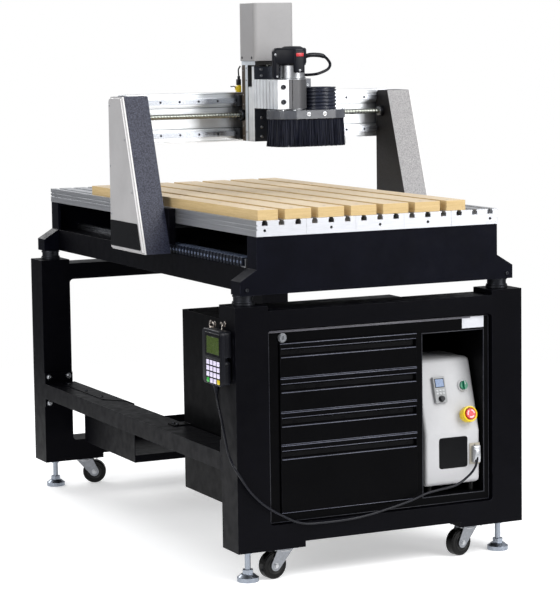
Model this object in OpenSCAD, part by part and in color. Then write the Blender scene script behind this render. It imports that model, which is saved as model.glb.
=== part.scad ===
// CNC router on a welded stand with a tool cabinet, a controller and a hand pendant.
// Frame: origin on the floor under the middle of the machine, +X to the right of a person
// who faces the drawers, +Y to the back, +Z up. All sizes are in millimetres.

/* [Table] */
// Width of the T-slot table
table_w = 750; // [700:50:800]
// Length of the T-slot table
table_l = 1584; // [1560:2:1600]
// Height of the table top above the floor
table_top = 984; // [980:1:990]
// Thickness of the table extrusions
table_t = 43; // [40:1:46]
// Distance between neighbouring T-slots
slot_pitch = 50; // [50:1:50]
// Number of T-slots
slot_count = 15; // [15:1:15]
// Width of the mouth of a T-slot
slot_mouth = 12; // [8:1:13]
// Width of the wide part of a T-slot
slot_wide = 17; // [14:1:18]
// Depth of a T-slot
slot_deep = 14; // [12:1:16]

/* [Spoilboard] */
// Thickness of the spoilboard slats
slat_t = 28; // [18:1:30]
// Length of the spoilboard slats
slat_l = 1219; // [1100:1:1250]
// Gap between neighbouring slats
slat_gap = 21; // [15:1:25]
// Full width of the spoilboard
board_w = 642; // [640:1:650]
// Offset of the spoilboard's middle from the table's middle
board_x = -45; // [-50:1:-40]

/* [Base] */
// Depth of each end frame of the base, along Y
end_depth = 60; // [55:1:62]
// Height of the bottom of the base
base_bottom = 784.7; // [784:0.1:786]
// Height of the top of the long side beams of the base
side_top = 852; // [850:1:853]
// Width of a long side beam of the base
side_w = 100; // [90:1:104]
// Distance from the middle to the outer end of an ear
ear_x = 424.4; // [420:0.1:430]
// Height of the axis of the Y ballscrew
y_screw_z = 862; // [860:1:863]
// Radius of the Y ballscrew
y_screw_r = 12.5; // [12:0.5:13]
// Distance from the middle to each Y rail
y_rail_x = 300; // [298:1:302]

/* [Gantry] */
// Distance from the middle to the inner face of a leg
leg_in = 398; // [396:1:400]
// Distance from the middle to the outer face of a leg's cover
leg_out = 483; // [480:1:486]
// Height of the bottom of the legs
leg_bottom = 855.6; // [855:0.1:857]
// Height of the top of the legs
leg_top = 1304; // [1303:1:1308]
// Front edge of a leg at its bottom
leg_front_low = -262; // [-264:1:-258]
// Front edge of a leg at its top
leg_front_high = -111; // [-112:1:-110]
// Front face of the gantry beam
beam_front = -38; // [-39:1:-37]
// Depth of the gantry beam
beam_depth = 60; // [50:1:70]
// Height of the bottom of the gantry beam
beam_bottom = 1161; // [1160:1:1162]
// Height of the gantry beam
beam_h = 146; // [145:1:148]
// Height of the axis of the X ballscrew
x_screw_z = 1240; // [1239:1:1241]
// Y position of the axis of the X ballscrew
x_screw_y = -74; // [-75:1:-74]
// Radius of the X and Z ballscrews
screw_r = 8; // [8:0.5:8]

/* [Carriage and Z axis] */
// X position of the middle of the carriage
car_x = -14; // [-20:1:-8]
// Width of the carriage
car_w = 122; // [120:1:124]
// Height of the bottom of the carriage
car_bottom = 1163; // [1162:1:1164]
// Height of the plate that carries the Z motor
motor_plate_z = 1401; // [1400:1:1403]
// Height of the top of the motor cover
cover_top = 1572; // [1560:1:1580]
// Front of the motor cover
cover_front = -168; // [-172:1:-168]
// Y position of the axis of the Z ballscrew
z_screw_y = -126; // [-127:1:-126]

/* [Router and dust shoe] */
// Y position of the router's axis
router_y = -262; // [-264:1:-260]
// Radius of the router's clamping sleeve
sleeve_r = 36; // [34:0.5:36]
// Height of the bottom of the clamp
clamp_bottom = 1262; // [1261:1:1263]
// Height of the clamp
clamp_h = 85; // [80:1:86]
// Height of the brush's lower edge
brush_bottom = 1152; // [1150:1:1160]
// Width of the dust shoe
shoe_w = 236; // [230:1:240]
// Depth of the dust shoe
shoe_d = 132; // [124:1:132]
// Radius of the hose port
port_r = 51.5; // [45:0.5:51.5]

/* [Stand] */
// Distance from the middle to the outer face of a post
stand_x = 446.4; // [446:0.1:447]
// Distance from the middle to the outer face of an end frame
stand_y = 802.2; // [802:0.1:804]
// Width of a post
post_w = 97; // [96:1:97]
// Depth of an end frame
post_d = 102.5; // [100:0.5:103]
// Height of the top of the posts
stand_top = 755.7; // [755:0.1:756]
// Height of the underside of the foot pads
pad_bottom = 88; // [87:1:89]
// Height of the underside of the frames
frame_bottom = 104; // [103:1:105]
// Distance from the middle to each levelling foot, sideways
foot_x = 396; // [395:1:397]
// Distance from the middle to each caster's swivel, sideways
caster_x = 292; // [291:1:293]
// Distance from the middle to the feet and casters, lengthways
foot_y = 751; // [750:1:752]
// Radius of a caster wheel
wheel_r = 38; // [36:0.5:38]
// Width of a caster wheel
wheel_w = 30; // [24:1:30]
// Distance from a caster's swivel axis to its wheel's axle
trail = 32; // [28:1:33]
// Top of the lower side beams of the stand
rung_top = 351; // [350:1:352]
// Height of the lower side beams of the stand
rung_h = 49; // [46:1:50]

/* [Cabinet] */
// Half the width of the tool cabinet
cab_x = 344; // [342:1:346]
// Front of the tool cabinet
cab_front = -790; // [-791:1:-789]
// Back of the tool cabinet
cab_back = -213; // [-220:1:-200]
// Height of the cabinet's underside
cab_bottom = 160; // [158:1:162]
// Height of the cabinet's top
cab_top = 686; // [684:1:688]
// Thickness of the cabinet's sheet metal
sheet = 2.5; // [2:0.5:3]
// Left side of the drawer opening
drawer_x0 = -314; // [-316:1:-312]
// Right side of the drawer opening
drawer_x1 = 112; // [110:1:114]
// Depth of the drawers behind their fronts
drawer_l = 530; // [500:5:540]

/* [Controller and pendant] */
// Left side of the controller
ctl_x0 = 145; // [143:1:147]
// Right side of the controller
ctl_x1 = 321; // [319:1:322]
// Front of the controller's lower half
ctl_front = -780; // [-782:1:-778]
// Height of the controller's underside
ctl_bottom = 208; // [206:1:210]
// Height of the edge where the panel starts to lean back
ctl_fold = 357; // [355:1:359]
// Height of the controller's top
ctl_top = 560; // [558:1:562]
// Depth of the pendant's body, along X
pendant_t = 34.5; // [28:0.5:34.5]
// Width of the pendant's body, along Y
pendant_w = 122; // [118:1:124]
// Height of the pendant's body
pendant_h = 150; // [146:1:156]

/* [Hidden] */

// Facets of true circles.
$fn = 48;
// Running clearance on the radius of a shaft in its bearing.
run = 0.05;
// Small overlap that a cutting solid needs past the face that it cuts.
cut = 1;

table_x = table_w / 2;
table_y = table_l / 2;
table_bottom = table_top - table_t;
end_out = table_y - 2;
end_in = end_out - end_depth;
end_plate = 12;
end_rim = 10;
leg_cast_out = leg_out - 10;
leg_step = leg_in + 40;
leg_wall = 8;
leg_back = -8;
leg_slope = (leg_front_high - leg_front_low) / (leg_top - leg_bottom);
beam_back = beam_front + beam_depth;
beam_top = beam_bottom + beam_h;
x_rail_h = 14;
x_rail_w = 16;
x_rail_zs = [beam_top - 24, beam_bottom + 23.5];
car_x0 = car_x - car_w / 2;
car_x1 = car_x + car_w / 2;
car_back = -72;
column_back = -94;
column_front = -112;
slide_back = -141;
slide_front = -157;
clamp_top = clamp_bottom + clamp_h;
sleeve_top = clamp_top + 41;
shoe_x = 34;
shoe_y = -278;
shoe_z0 = 1240;
shoe_z1 = 1258;
port_x = 91;
port_y = -250;
port_bore = port_r - 7;
post_x = stand_x - post_w;
post_y = stand_y - post_d;
opening_z0 = 156;
opening_z1 = 690;
rung_x0 = post_x + 1;
rung_bottom = rung_top - rung_h;
bay_x0 = 130;
bay_x1 = 326;
bay_z0 = 184;
bay_z1 = 645;
front_t = 18;
front_gap = 2;
// Heights of the gaps between drawer fronts, from the header down to the plinth.
drawer_zs = [651, 555, 462, 372, 184];
lean = atan((-722 - ctl_front) / (ctl_top - ctl_fold));
pendant_back = -448;
pendant_y0 = -786;
pendant_z0 = 543;

// ---------- Shared shapes ----------

// A block between two opposite corners.
module span(lo, hi) translate(lo) cube(hi - lo);

// Round bars along X, Y and Z.
module rod_x(x0, x1, y, z, r) translate([x0, y, z]) rotate([0, 90, 0]) cylinder(h = x1 - x0, r = r);
module rod_y(y0, y1, x, z, r) translate([x, y1, z]) rotate([90, 0, 0]) cylinder(h = y1 - y0, r = r);
module rod_z(z0, z1, x, y, r) translate([x, y, z0]) cylinder(h = z1 - z0, r = r);

// Outlines drawn in the YZ plane and extruded along X, and in XZ along Y.
module along_x(x0, x1) translate([x0, 0, 0]) rotate([90, 0, 90]) linear_extrude(x1 - x0) children();
module along_y(y0, y1) translate([0, y1, 0]) rotate([90, 0, 0]) linear_extrude(y1 - y0) children();

module both_x() {
    children();
    mirror([1, 0, 0]) children();
}

module both_y() {
    children();
    mirror([0, 1, 0]) children();
}

// A rectangle with true round corners, from its lower left corner.
module round_rect(w, h, r) {
    translate([r, 0]) square([w - 2 * r, h]);
    translate([0, r]) square([w, h - 2 * r]);
    for (x = [r, w - r], y = [r, h - r]) translate([x, y]) circle(r);
}

// A profile rail's section, standing on its base.
module rail_section(w, h) {
    waist = w * 0.16;
    polygon([
        [-w / 2, 0], [w / 2, 0], [w / 2, h * 0.35], [w / 2 - waist, h * 0.5], [w / 2 - waist, h * 0.65],
        [w / 2, h * 0.78], [w / 2, h], [-w / 2, h], [-w / 2, h * 0.78], [-w / 2 + waist, h * 0.65],
        [-w / 2 + waist, h * 0.5], [-w / 2, h * 0.35]
    ]);
}

// ---------- Base and table ----------

module end_outline() {
    neck = 853;
    shoulder = 822.4;
    polygon([
        [-table_x + 1, table_bottom], [table_x - 1, table_bottom], [table_x - 1, neck],
        [ear_x, shoulder], [ear_x, base_bottom], [-ear_x, base_bottom], [-ear_x, shoulder],
        [-table_x + 1, neck]
    ]);
}

// The front end frame: a plate with a deep rim, open to the inside of the machine.
module end_frame() {
    difference() {
        along_y(-end_out, -end_in) end_outline();
        span(
            [-table_x + end_rim, -end_out + end_plate, base_bottom + end_rim],
            [table_x - end_rim, -end_in + cut, table_bottom - end_rim]
        );
    }
}

module base_end_frames() color("#22252b") {
    boss_r = 28;
    journal_r = 8;
    difference() {
        union() {
            end_frame();
            rod_y(-end_out + end_plate - 0.5, -end_in, 0, y_screw_z, boss_r);
        }
        rod_y(-end_out + end_plate + 4, -end_in + cut, 0, y_screw_z, journal_r + run);
    }
    mirror([0, 1, 0]) end_frame();
}

// Two box beams and the sheet that closes the bottom between them.
module base_side_beams() color("#202329") {
    wall = 5;
    closing_t = 3;
    beam_out = table_x - 1;
    beam_in = beam_out - side_w;
    both_x() difference() {
        span([beam_in, -end_in, base_bottom], [beam_out, end_in, side_top]);
        span(
            [beam_in + wall, -end_in - cut, base_bottom + wall],
            [beam_out - wall, end_in + cut, side_top - wall]
        );
    }
    span([-beam_in - 0.5, -end_in, base_bottom + 1], [beam_in + 0.5, end_in, base_bottom + 1 + closing_t]);
}

module machine_feet() color("#33363c") {
    for (x = [-397, 397], y = [-748, 748]) {
        rod_z(stand_top, stand_top + 7, x, y, 31);
        rod_z(stand_top + 7, base_bottom, x, y, 27);
    }
}

module t_slot() {
    lip = 3.5;
    translate([-slot_mouth / 2, -lip]) square([slot_mouth, lip + cut]);
    translate([-slot_wide / 2, -slot_deep]) square([slot_wide, slot_deep - lip]);
}

// Side grooves of the table's outer extrusions.
module side_grooves() {
    groove = 3;
    for (z = [-15, -26]) translate([table_x - groove, z]) square([groove + cut, 4]);
}

module t_slot_table() color("#d5d8dc") {
    planks = 5;
    plank_w = table_w / planks;
    joint_gap = 0.4;
    rib_pocket_w = 58;
    rib_pocket_h = 20;
    screw_xs = [-350, -150, 0, 150, 350];
    for (i = [0 : planks - 1]) {
        x0 = -table_x + i * plank_w;
        difference() {
            translate([0, 0, table_top]) along_y(-table_y, table_y) difference() {
                translate([x0 + joint_gap / 2, -table_t]) square([plank_w - joint_gap, table_t]);
                for (k = [0 : 2]) translate([x0 + (k + 0.5) * slot_pitch, 0]) t_slot();
                side_grooves();
                mirror([1, 0]) side_grooves();
            }
            for (side = [-1, 1]) {
                mid = x0 + plank_w / 2 + side * 35;
                span(
                    [mid - rib_pocket_w / 2, -end_in + 5, table_bottom - cut],
                    [mid + rib_pocket_w / 2, end_in - 5, table_bottom + rib_pocket_h]
                );
            }
            for (x = screw_xs) if (x > x0 && x < x0 + plank_w) both_y() {
                rod_y(-table_y - cut, -table_y + 22, x, table_top - 27, 4);
            }
        }
    }
}

module spoilboard_slats() color("#dcc79a") {
    gaps = 6;
    y0 = -table_y + 10;
    x_left = board_x - board_w / 2;
    x_right = board_x + board_w / 2;
    gap_mids = [for (i = [0 : gaps - 1]) board_x + (i - (gaps - 1) / 2) * 2 * slot_pitch];
    for (i = [0 : gaps]) {
        x0 = i == 0 ? x_left : gap_mids[i - 1] + slat_gap / 2;
        x1 = i == gaps ? x_right : gap_mids[i] - slat_gap / 2;
        span([x0, y0, table_top], [x1, y0 + slat_l, table_top + slat_t]);
    }
}

y_rail_w = 20;
y_rail_h = 17.5;
y_block_top = side_top + 30;

module y_rails() color("#c3c8ce") both_x() {
    translate([y_rail_x, 0, side_top]) along_y(-end_in + 5, end_in - 5) rail_section(y_rail_w, y_rail_h);
}

y_nut_ys = [-150, -100];
y_motor_front = 674;
y_motor_flange = 8;

module y_ballscrew() color("#b9bec4") {
    journal_r = 8;
    rod_y(-end_in + 2, y_motor_front - 2, 0, y_screw_z, y_screw_r);
    rod_y(-end_out + end_plate + 6, -end_in + 2, 0, y_screw_z, journal_r);
    rod_y(y_motor_front - 2, y_motor_front + y_motor_flange - 1, 0, y_screw_z, journal_r);
}

module y_motor() color("#1c1d20") {
    half = 43;
    flange = 50;
    body_front = y_motor_front + y_motor_flange;
    difference() {
        span([-flange, y_motor_front, y_screw_z - flange], [flange, body_front, y_screw_z + flange]);
        rod_y(y_motor_front - cut, body_front + cut, 0, y_screw_z, 8 + run);
    }
    span([-half, body_front, y_screw_z - half], [half, end_out - end_plate, y_screw_z + half]);
}

// The run of the cable chain that lies still on the left side beam.
module y_cable_chain() color("#4a5263") {
    x0 = -371;
    x1 = -331;
    z1 = side_top + 25;
    link = 22;
    first = -690;
    last = -20;
    span([x0 + 4, first, side_top + 3], [x1 - 4, last, z1 - 3]);
    for (y = [first : link : last - link]) span([x0, y, side_top], [x1, y + link - 6, z1]);
}

// ---------- Gantry ----------

// Outline of a leg, in YZ, pulled in by a wall thickness and with its back edge at a given Y.
module leg_outline(back, inset) {
    round_r = 20 - inset;
    z0 = leg_bottom + inset;
    z1 = leg_top - inset;
    front_low = leg_front_low + leg_slope * inset + inset * sqrt(1 + leg_slope * leg_slope);
    front_high = leg_front_high - leg_slope * inset + inset * sqrt(1 + leg_slope * leg_slope);
    edge = back - inset;
    polygon([
        [edge, z0], [edge, z1 - round_r], [edge - round_r, z1 - round_r], [edge - round_r, z1],
        [front_high, z1], [front_low, z0]
    ]);
    translate([edge - round_r, z1 - round_r]) circle(round_r);
}

module gantry_legs() color("#545a6b") both_x() difference() {
    union() {
        along_x(leg_in, leg_step) leg_outline(beam_front, 0);
        along_x(leg_step - 0.5, leg_cast_out) leg_outline(leg_back, 0);
    }
    along_x(leg_in + leg_wall, leg_cast_out + cut) leg_outline(beam_front, leg_wall);
    rod_x(leg_in - cut, leg_in + leg_wall + cut, x_screw_y, x_screw_z, 10);
}

// Covers close the open outer sides of the castings. A lip centres each one.
module gantry_side_covers() color("#d3d0d2") both_x() {
    lip_clear = 0.5;
    lip_deep = 12;
    bevel = 5;
    along_x(leg_cast_out, leg_out - bevel) leg_outline(leg_back, 0);
    along_x(leg_out - bevel, leg_out) leg_outline(leg_back, bevel);
    difference() {
        along_x(leg_cast_out - lip_deep, leg_cast_out) leg_outline(beam_front, leg_wall + lip_clear);
        along_x(leg_cast_out - lip_deep - cut, leg_cast_out) leg_outline(beam_front, leg_wall + 4);
    }
}

lower_y0 = -200;
lower_y1 = -30;
lower_z1 = y_block_top + 40;

// The cross member under the table joins the legs and carries the Y ball nut.
module gantry_lower_beam() color("#2b2f36") {
    wall = 8;
    nut_x = 32;
    pocket_x = y_rail_x - 30;
    difference() {
        union() {
            difference() {
                span([-leg_in, lower_y0, y_block_top], [leg_in, lower_y1, lower_z1]);
                span([-pocket_x, lower_y0 + wall, y_block_top - cut], [pocket_x, lower_y1 - wall, lower_z1 - wall]);
            }
            span([-nut_x, y_nut_ys[0], y_screw_z - 20], [nut_x, y_nut_ys[1], lower_z1 - 1]);
        }
        rod_y(lower_y0 - cut, lower_y1 + cut, 0, y_screw_z, y_screw_r + run);
    }
    both_x() span([table_x + 3, -252, y_block_top], [leg_in, lower_y0 + 0.5, table_top]);
}

module y_bearing_blocks() color("#9aa0a8") {
    half_w = 22;
    clear = 0.5;
    for (x = [-y_rail_x, y_rail_x], ys = [[-190, -120], [-100, -40]]) difference() {
        span([x - half_w, ys[0], side_top + 5], [x + half_w, ys[1], y_block_top]);
        span(
            [x - y_rail_w / 2 - clear, ys[0] - cut, side_top],
            [x + y_rail_w / 2 + clear, ys[1] + cut, side_top + y_rail_h + clear]
        );
    }
}

module gantry_beam() color("#d9dcdf") {
    wall = 6;
    end_gap = 0.5;
    recess_z0 = 1199;
    recess_z1 = 1268;
    recess = 8;
    half_l = leg_step - end_gap;
    along_x(-half_l, half_l) difference() {
        translate([beam_front, beam_bottom]) square([beam_depth, beam_h]);
        translate([beam_front - cut, recess_z0]) square([recess + cut, recess_z1 - recess_z0]);
        translate([beam_front + 14, beam_bottom + wall])
            square([beam_depth - 14 - wall, recess_z0 - beam_bottom - wall - 3]);
        translate([beam_front + 14, recess_z0 + 3]) square([beam_depth - 14 - wall, recess_z1 - recess_z0 - 6]);
        translate([beam_front + 14, recess_z1 + 3])
            square([beam_depth - 14 - wall, beam_top - recess_z1 - wall - 3]);
    }
}

module x_rails() color("#b4bac2") for (z = x_rail_zs) {
    translate([0, beam_front, z]) rotate([90, 0, 0]) rotate([0, 0, 90])
        along_y(-leg_in + 4, leg_in - 4) rail_section(x_rail_w, x_rail_h);
}

bearing_t = 10;

module x_ballscrew() color("#c0c4c8") {
    journal_r = 6;
    thread_end = leg_in - bearing_t - 2;
    rod_x(-thread_end, thread_end, x_screw_y, x_screw_z, screw_r);
    rod_x(-leg_in + 1, -thread_end, x_screw_y, x_screw_z, journal_r);
    rod_x(thread_end, leg_in + leg_wall - 1, x_screw_y, x_screw_z, journal_r);
}

module x_screw_bearings() color("#26282d") both_x() difference() {
    rod_x(leg_in - bearing_t, leg_in, x_screw_y, x_screw_z, 17);
    rod_x(leg_in - bearing_t - cut, leg_in + cut, x_screw_y, x_screw_z, 6 + run);
}

module x_motor() color("#1c1d20") {
    half = 28;
    span(
        [leg_in + leg_wall, x_screw_y - half, x_screw_z - half],
        [leg_cast_out - 14, x_screw_y + half, x_screw_z + half]
    );
}

// ---------- Carriage and Z axis ----------

module x_carriage_plate() color("#3a3d42") {
    nut_room = 16;
    difference() {
        span([car_x0, column_back, car_bottom], [car_x1, car_back, motor_plate_z - 12]);
        span(
            [car_x0 - cut, column_back + 3, x_screw_z - nut_room],
            [car_x1 + cut, car_back + cut, x_screw_z + nut_room]
        );
    }
}

module x_bearing_blocks() color("#3c4046") {
    half_h = 17;
    clear = 0.5;
    for (z = x_rail_zs, xs = [[-72, -17], [17, 72]]) difference() {
        span([car_x + xs[0], car_back, z - half_h], [car_x + xs[1], beam_front - 4, z + half_h]);
        span(
            [car_x + xs[0] - cut, beam_front - x_rail_h - clear, z - x_rail_w / 2 - clear],
            [car_x + xs[1] + cut, beam_front, z + x_rail_w / 2 + clear]
        );
    }
}

module x_ball_nut() color("#18191c") {
    nut_r = 14.5;
    nut_l = 42;
    difference() {
        union() {
            rod_x(car_x0 - 4, car_x0 + nut_l, x_screw_y, x_screw_z, nut_r);
            span([car_x0 + 4, column_back + 3, x_screw_z - 12], [car_x0 + nut_l, x_screw_y, x_screw_z + 12]);
        }
        rod_x(car_x0 - 4 - cut, car_x0 + nut_l + cut, x_screw_y, x_screw_z, screw_r + run);
    }
}

z_block_zs = [car_bottom + 5, car_bottom + 53];
z_block_h = 45;
z_rail_dx = 38;
z_rail_w = 12;
z_rail_d = 16;
z_nut_dx = 16;

module z_column() color("#c9ccd0") {
    top_plate = 12;
    foot_h = 12;
    journal_r = 6;
    difference() {
        union() {
            span([car_x0, column_front, car_bottom], [car_x1, column_back, motor_plate_z - top_plate]);
            span([car_x0, cover_front + 4, motor_plate_z - top_plate], [car_x1, car_back + 2, motor_plate_z]);
            span([car_x - 16, z_screw_y - 12, car_bottom], [car_x + 16, column_front + 1, car_bottom + foot_h]);
        }
        rod_z(motor_plate_z - top_plate - cut, motor_plate_z + cut, car_x, z_screw_y, journal_r + run);
        rod_z(car_bottom + 1, car_bottom + foot_h + cut, car_x, z_screw_y, journal_r + run);
    }
}

module z_bearing_blocks() color("#8d939b") {
    half_w = 16;
    clear = 0.5;
    block_front = -136;
    for (side = [-1, 1], z = z_block_zs) {
        x = car_x + side * z_rail_dx;
        difference() {
            span([x - half_w, block_front, z], [x + half_w, column_front, z + z_block_h]);
            span(
                [x - z_rail_w / 2 - clear, block_front - cut, z - cut],
                [x + z_rail_w / 2 + clear, slide_back + z_rail_d + clear, z + z_block_h + cut]
            );
        }
    }
}

module z_ballscrew() color("#c0c4c8") {
    journal_r = 6;
    rod_z(car_bottom + 13, motor_plate_z - 14, car_x, z_screw_y, screw_r);
    rod_z(car_bottom + 2, car_bottom + 13, car_x, z_screw_y, journal_r);
    rod_z(motor_plate_z - 14, motor_plate_z - 1, car_x, z_screw_y, journal_r);
}

module z_motor() color("#1c1d20") {
    half = 28;
    motor_h = 80;
    span(
        [car_x - half, z_screw_y - half, motor_plate_z],
        [car_x + half, z_screw_y + half, motor_plate_z + motor_h]
    );
}

module z_motor_cover() color("#c9c6c4") {
    wall = 3;
    corner = 12;
    back = -60;
    depth = back - cover_front;
    left = car_x0 - 3;
    width = 130;
    difference() {
        translate([left, cover_front, motor_plate_z]) linear_extrude(cover_top - motor_plate_z)
            round_rect(width, depth, corner);
        translate([left + wall, cover_front + wall, motor_plate_z - cut])
            linear_extrude(cover_top - motor_plate_z - wall + cut)
                round_rect(width - 2 * wall, depth - 2 * wall, corner - wall);
    }
}

module z_slide_plate() color("#d4d7db") {
    cheek = 6;
    cheek_back = -116;
    cheek_top = 1325;
    nut_z = [1335, 1375];
    difference() {
        union() {
            span([car_x0, slide_front, car_bottom], [car_x1, slide_back, motor_plate_z - 16]);
            span([car_x0, slide_back - 1, car_bottom], [car_x0 + cheek, cheek_back, cheek_top]);
            span([car_x1 - cheek, slide_back - 1, car_bottom], [car_x1, cheek_back, cheek_top]);
            span([car_x - z_nut_dx, slide_back - 1, nut_z[0]], [car_x + z_nut_dx, column_front - 2, nut_z[1]]);
        }
        rod_z(nut_z[0] - cut, nut_z[1] + cut, car_x, z_screw_y, screw_r + run);
    }
}

module z_rails() color("#b4bac2") for (side = [-1, 1]) {
    x = car_x + side * z_rail_dx;
    span(
        [x - z_rail_w / 2, slide_back, car_bottom + 3],
        [x + z_rail_w / 2, slide_back + z_rail_d, motor_plate_z - 18]
    );
}

// ---------- Router and dust shoe ----------

module router_clamp() color("#c4c9ce") {
    ring_r = sleeve_r + 4;
    block_front = -302;
    boss_front = -314;
    boss_x1 = -38;
    web_front = -194;
    web_x1 = 94;
    fin = 5;
    difference() {
        translate([0, 0, clamp_bottom]) linear_extrude(clamp_h) difference() {
            union() {
                translate([car_x0, web_front]) square([web_x1 - car_x0, slide_front - web_front]);
                translate([car_x0, block_front]) square([-car_x0, slide_front - block_front]);
                translate([car_x0 + 1, boss_front]) square([boss_x1 - car_x0 - 1, block_front - boss_front + 1]);
                translate([0, router_y]) circle(ring_r);
                translate([0, router_y]) square([ring_r - 2, slide_front - router_y]);
            }
            translate([0, router_y]) circle(sleeve_r);
            translate([-21, boss_front]) square([2, router_y - sleeve_r / 2 - boss_front]);
            for (y = [block_front + 14 : 22 : slide_front - 12]) {
                translate([car_x0 - cut, y]) square([fin + cut, 8]);
            }
        }
        for (z = [clamp_bottom + 21, clamp_top - 21]) rod_y(boss_front - cut, boss_front + 34, car_x0 + 19, z, 4);
    }
}

module router_body() color("#24262b") {
    body_r = 39;
    top = 1444;
    dial_y = router_y + 12;
    limb = 10;
    lobe = 16;
    lobe_front = router_y - 50;
    difference() {
        union() {
            rod_z(sleeve_top, top, 0, router_y, body_r);
            span([-64, router_y - limb, clamp_top + 1], [-44, router_y + limb, top - 4]);
            span([-45, router_y - limb, sleeve_top], [0, router_y + limb, top - 4]);
            span([-lobe, lobe_front, 1366], [lobe, router_y - sleeve_r - 1, top - 6]);
            span([-lobe, router_y - sleeve_r - 2, sleeve_top], [lobe, router_y, top - 6]);
            rod_x(20, 40, dial_y, 1396, 8);
        }
        rod_x(28, 41, dial_y, 1396, 2 + run);
    }
}

module router_speed_dial() color("#101114") {
    dial_y = router_y + 12;
    rod_x(40.5, 46, dial_y, 1396, 8);
    rod_x(30, 40.5, dial_y, 1396, 2);
}

module router_sleeve() color("#b8bcc0") {
    wall = 5;
    z0 = clamp_bottom - 3;
    difference() {
        rod_z(z0, sleeve_top, 0, router_y, sleeve_r - 0.01);
        rod_z(z0 + 10, sleeve_top + cut, 0, router_y, sleeve_r - wall);
        rod_z(z0 - cut, z0 + 10 + cut, 0, router_y, 8 + run);
    }
}

// Rotor, shaft, collet nut and cutter turn together.
module router_collet() color("#a9adb2") {
    rod_z(1274, 1376, 0, router_y, 24);
    rod_z(1236, 1275, 0, router_y, 8);
    translate([0, router_y, 1216]) cylinder(h = 21, r = 13, $fn = 6);
    rod_z(1151, 1217, 0, router_y, 3.2);
}

shoe_corner = 58;

module shoe_outline(grow, r) {
    translate([shoe_x - shoe_w / 2 - grow, shoe_y - shoe_d / 2 - grow])
        round_rect(shoe_w + 2 * grow, shoe_d + 2 * grow, r + grow);
}

module dust_shoe() color("#9da0a6") {
    rim = 3;
    rim_z = shoe_z0 - 7;
    spindle_r = 28;
    inlet_r = 34;
    difference() {
        union() {
            translate([0, 0, shoe_z0]) linear_extrude(shoe_z1 - shoe_z0) {
                shoe_outline(0, shoe_corner);
                translate([port_x, port_y]) circle(port_r + 2);
            }
            translate([0, 0, rim_z]) linear_extrude(shoe_z0 - rim_z + 0.5) difference() {
                shoe_outline(0, shoe_corner);
                shoe_outline(-rim, shoe_corner);
            }
            span([-70, -300, shoe_z1 - 1], [-40, -236, clamp_bottom]);
        }
        rod_z(rim_z, clamp_bottom + cut, 0, router_y, spindle_r);
        rod_z(rim_z, shoe_z1 + cut, port_x, port_y, inlet_r);
    }
}

module dust_brush() color("#1b1d22") {
    thick = 14;
    translate([0, 0, brush_bottom]) linear_extrude(shoe_z0 - brush_bottom) difference() {
        shoe_outline(-3.5, shoe_corner);
        shoe_outline(-3.5 - thick, shoe_corner);
    }
}

module hose_port() color("#23262d") {
    ribs = 6;
    port_h = 62;
    pitch = port_h / ribs;
    groove = 3;
    difference() {
        union() {
            rod_z(shoe_z1, shoe_z1 + port_h, port_x, port_y, port_r - groove);
            for (i = [0 : ribs - 1]) {
                rod_z(shoe_z1 + i * pitch, shoe_z1 + (i + 0.6) * pitch, port_x, port_y, port_r);
            }
        }
        rod_z(shoe_z1 - cut, shoe_z1 + port_h + cut, port_x, port_y, port_bore);
    }
}

// ---------- Stand ----------

module frame_outline() {
    inner_r = 12;
    rail_drop = 14;
    difference() {
        translate([-stand_x, frame_bottom]) square([2 * stand_x, stand_top - frame_bottom]);
        translate([-post_x, opening_z0]) round_rect(2 * post_x, opening_z1 - opening_z0, inner_r);
        translate([-post_x, stand_top - rail_drop]) square([2 * post_x, rail_drop + cut]);
    }
}

// The hollow of the welded tube frame, one joined space.
module frame_hollow() {
    wall = 4;
    rail_top = stand_top - 14;
    for (side = [0, 1]) mirror([side, 0]) translate([post_x + wall, frame_bottom + wall])
        square([post_w - 2 * wall, stand_top - frame_bottom - 2 * wall]);
    translate([-post_x - wall - 1, frame_bottom + wall])
        square([2 * (post_x + wall + 1), opening_z0 - frame_bottom - 2 * wall]);
    translate([-post_x - wall - 1, opening_z1 + wall])
        square([2 * (post_x + wall + 1), rail_top - opening_z1 - 2 * wall]);
}

// The front end frame with its foot pads. The holes take the levelling screws.
module end_stand() {
    wall = 4;
    pad_x0 = 244;
    screw_hole_r = 8.4;
    difference() {
        union() {
            along_y(-stand_y, -post_y) frame_outline();
            both_x() span([pad_x0, -stand_y, pad_bottom], [stand_x, -post_y, frame_bottom + 0.5]);
        }
        along_y(-stand_y + wall, -post_y - wall) frame_hollow();
        both_x() rod_z(pad_bottom - cut, frame_bottom + 2 * wall, foot_x, -foot_y, screw_hole_r);
    }
}

module stand_end_frames() color("#24272d") {
    end_stand();
    mirror([0, 1, 0]) end_stand();
    span([pendant_back + 0.6, -790, 560], [-stand_x + 0.5, -706, 672]);
}

module stand_side_beams() color("#2a2d33") both_x() {
    wall = 4;
    flange = 8;
    flange_z0 = 275;
    flange_z1 = 385;
    difference() {
        span([rung_x0, -post_y + flange, rung_bottom], [stand_x, post_y - flange, rung_top]);
        span(
            [rung_x0 + wall, -post_y + flange - cut, rung_bottom + wall],
            [stand_x - wall, post_y - flange + cut, rung_top - wall]
        );
    }
    both_y() difference() {
        span([rung_x0, -post_y, flange_z0], [stand_x, -post_y + flange, flange_z1]);
        for (x = [rung_x0 + 14, stand_x - 14], z = [flange_z0 + 12, flange_z1 - 12]) {
            rod_y(-post_y - cut, -post_y + flange + cut, x, z, 5);
        }
    }
}

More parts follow.
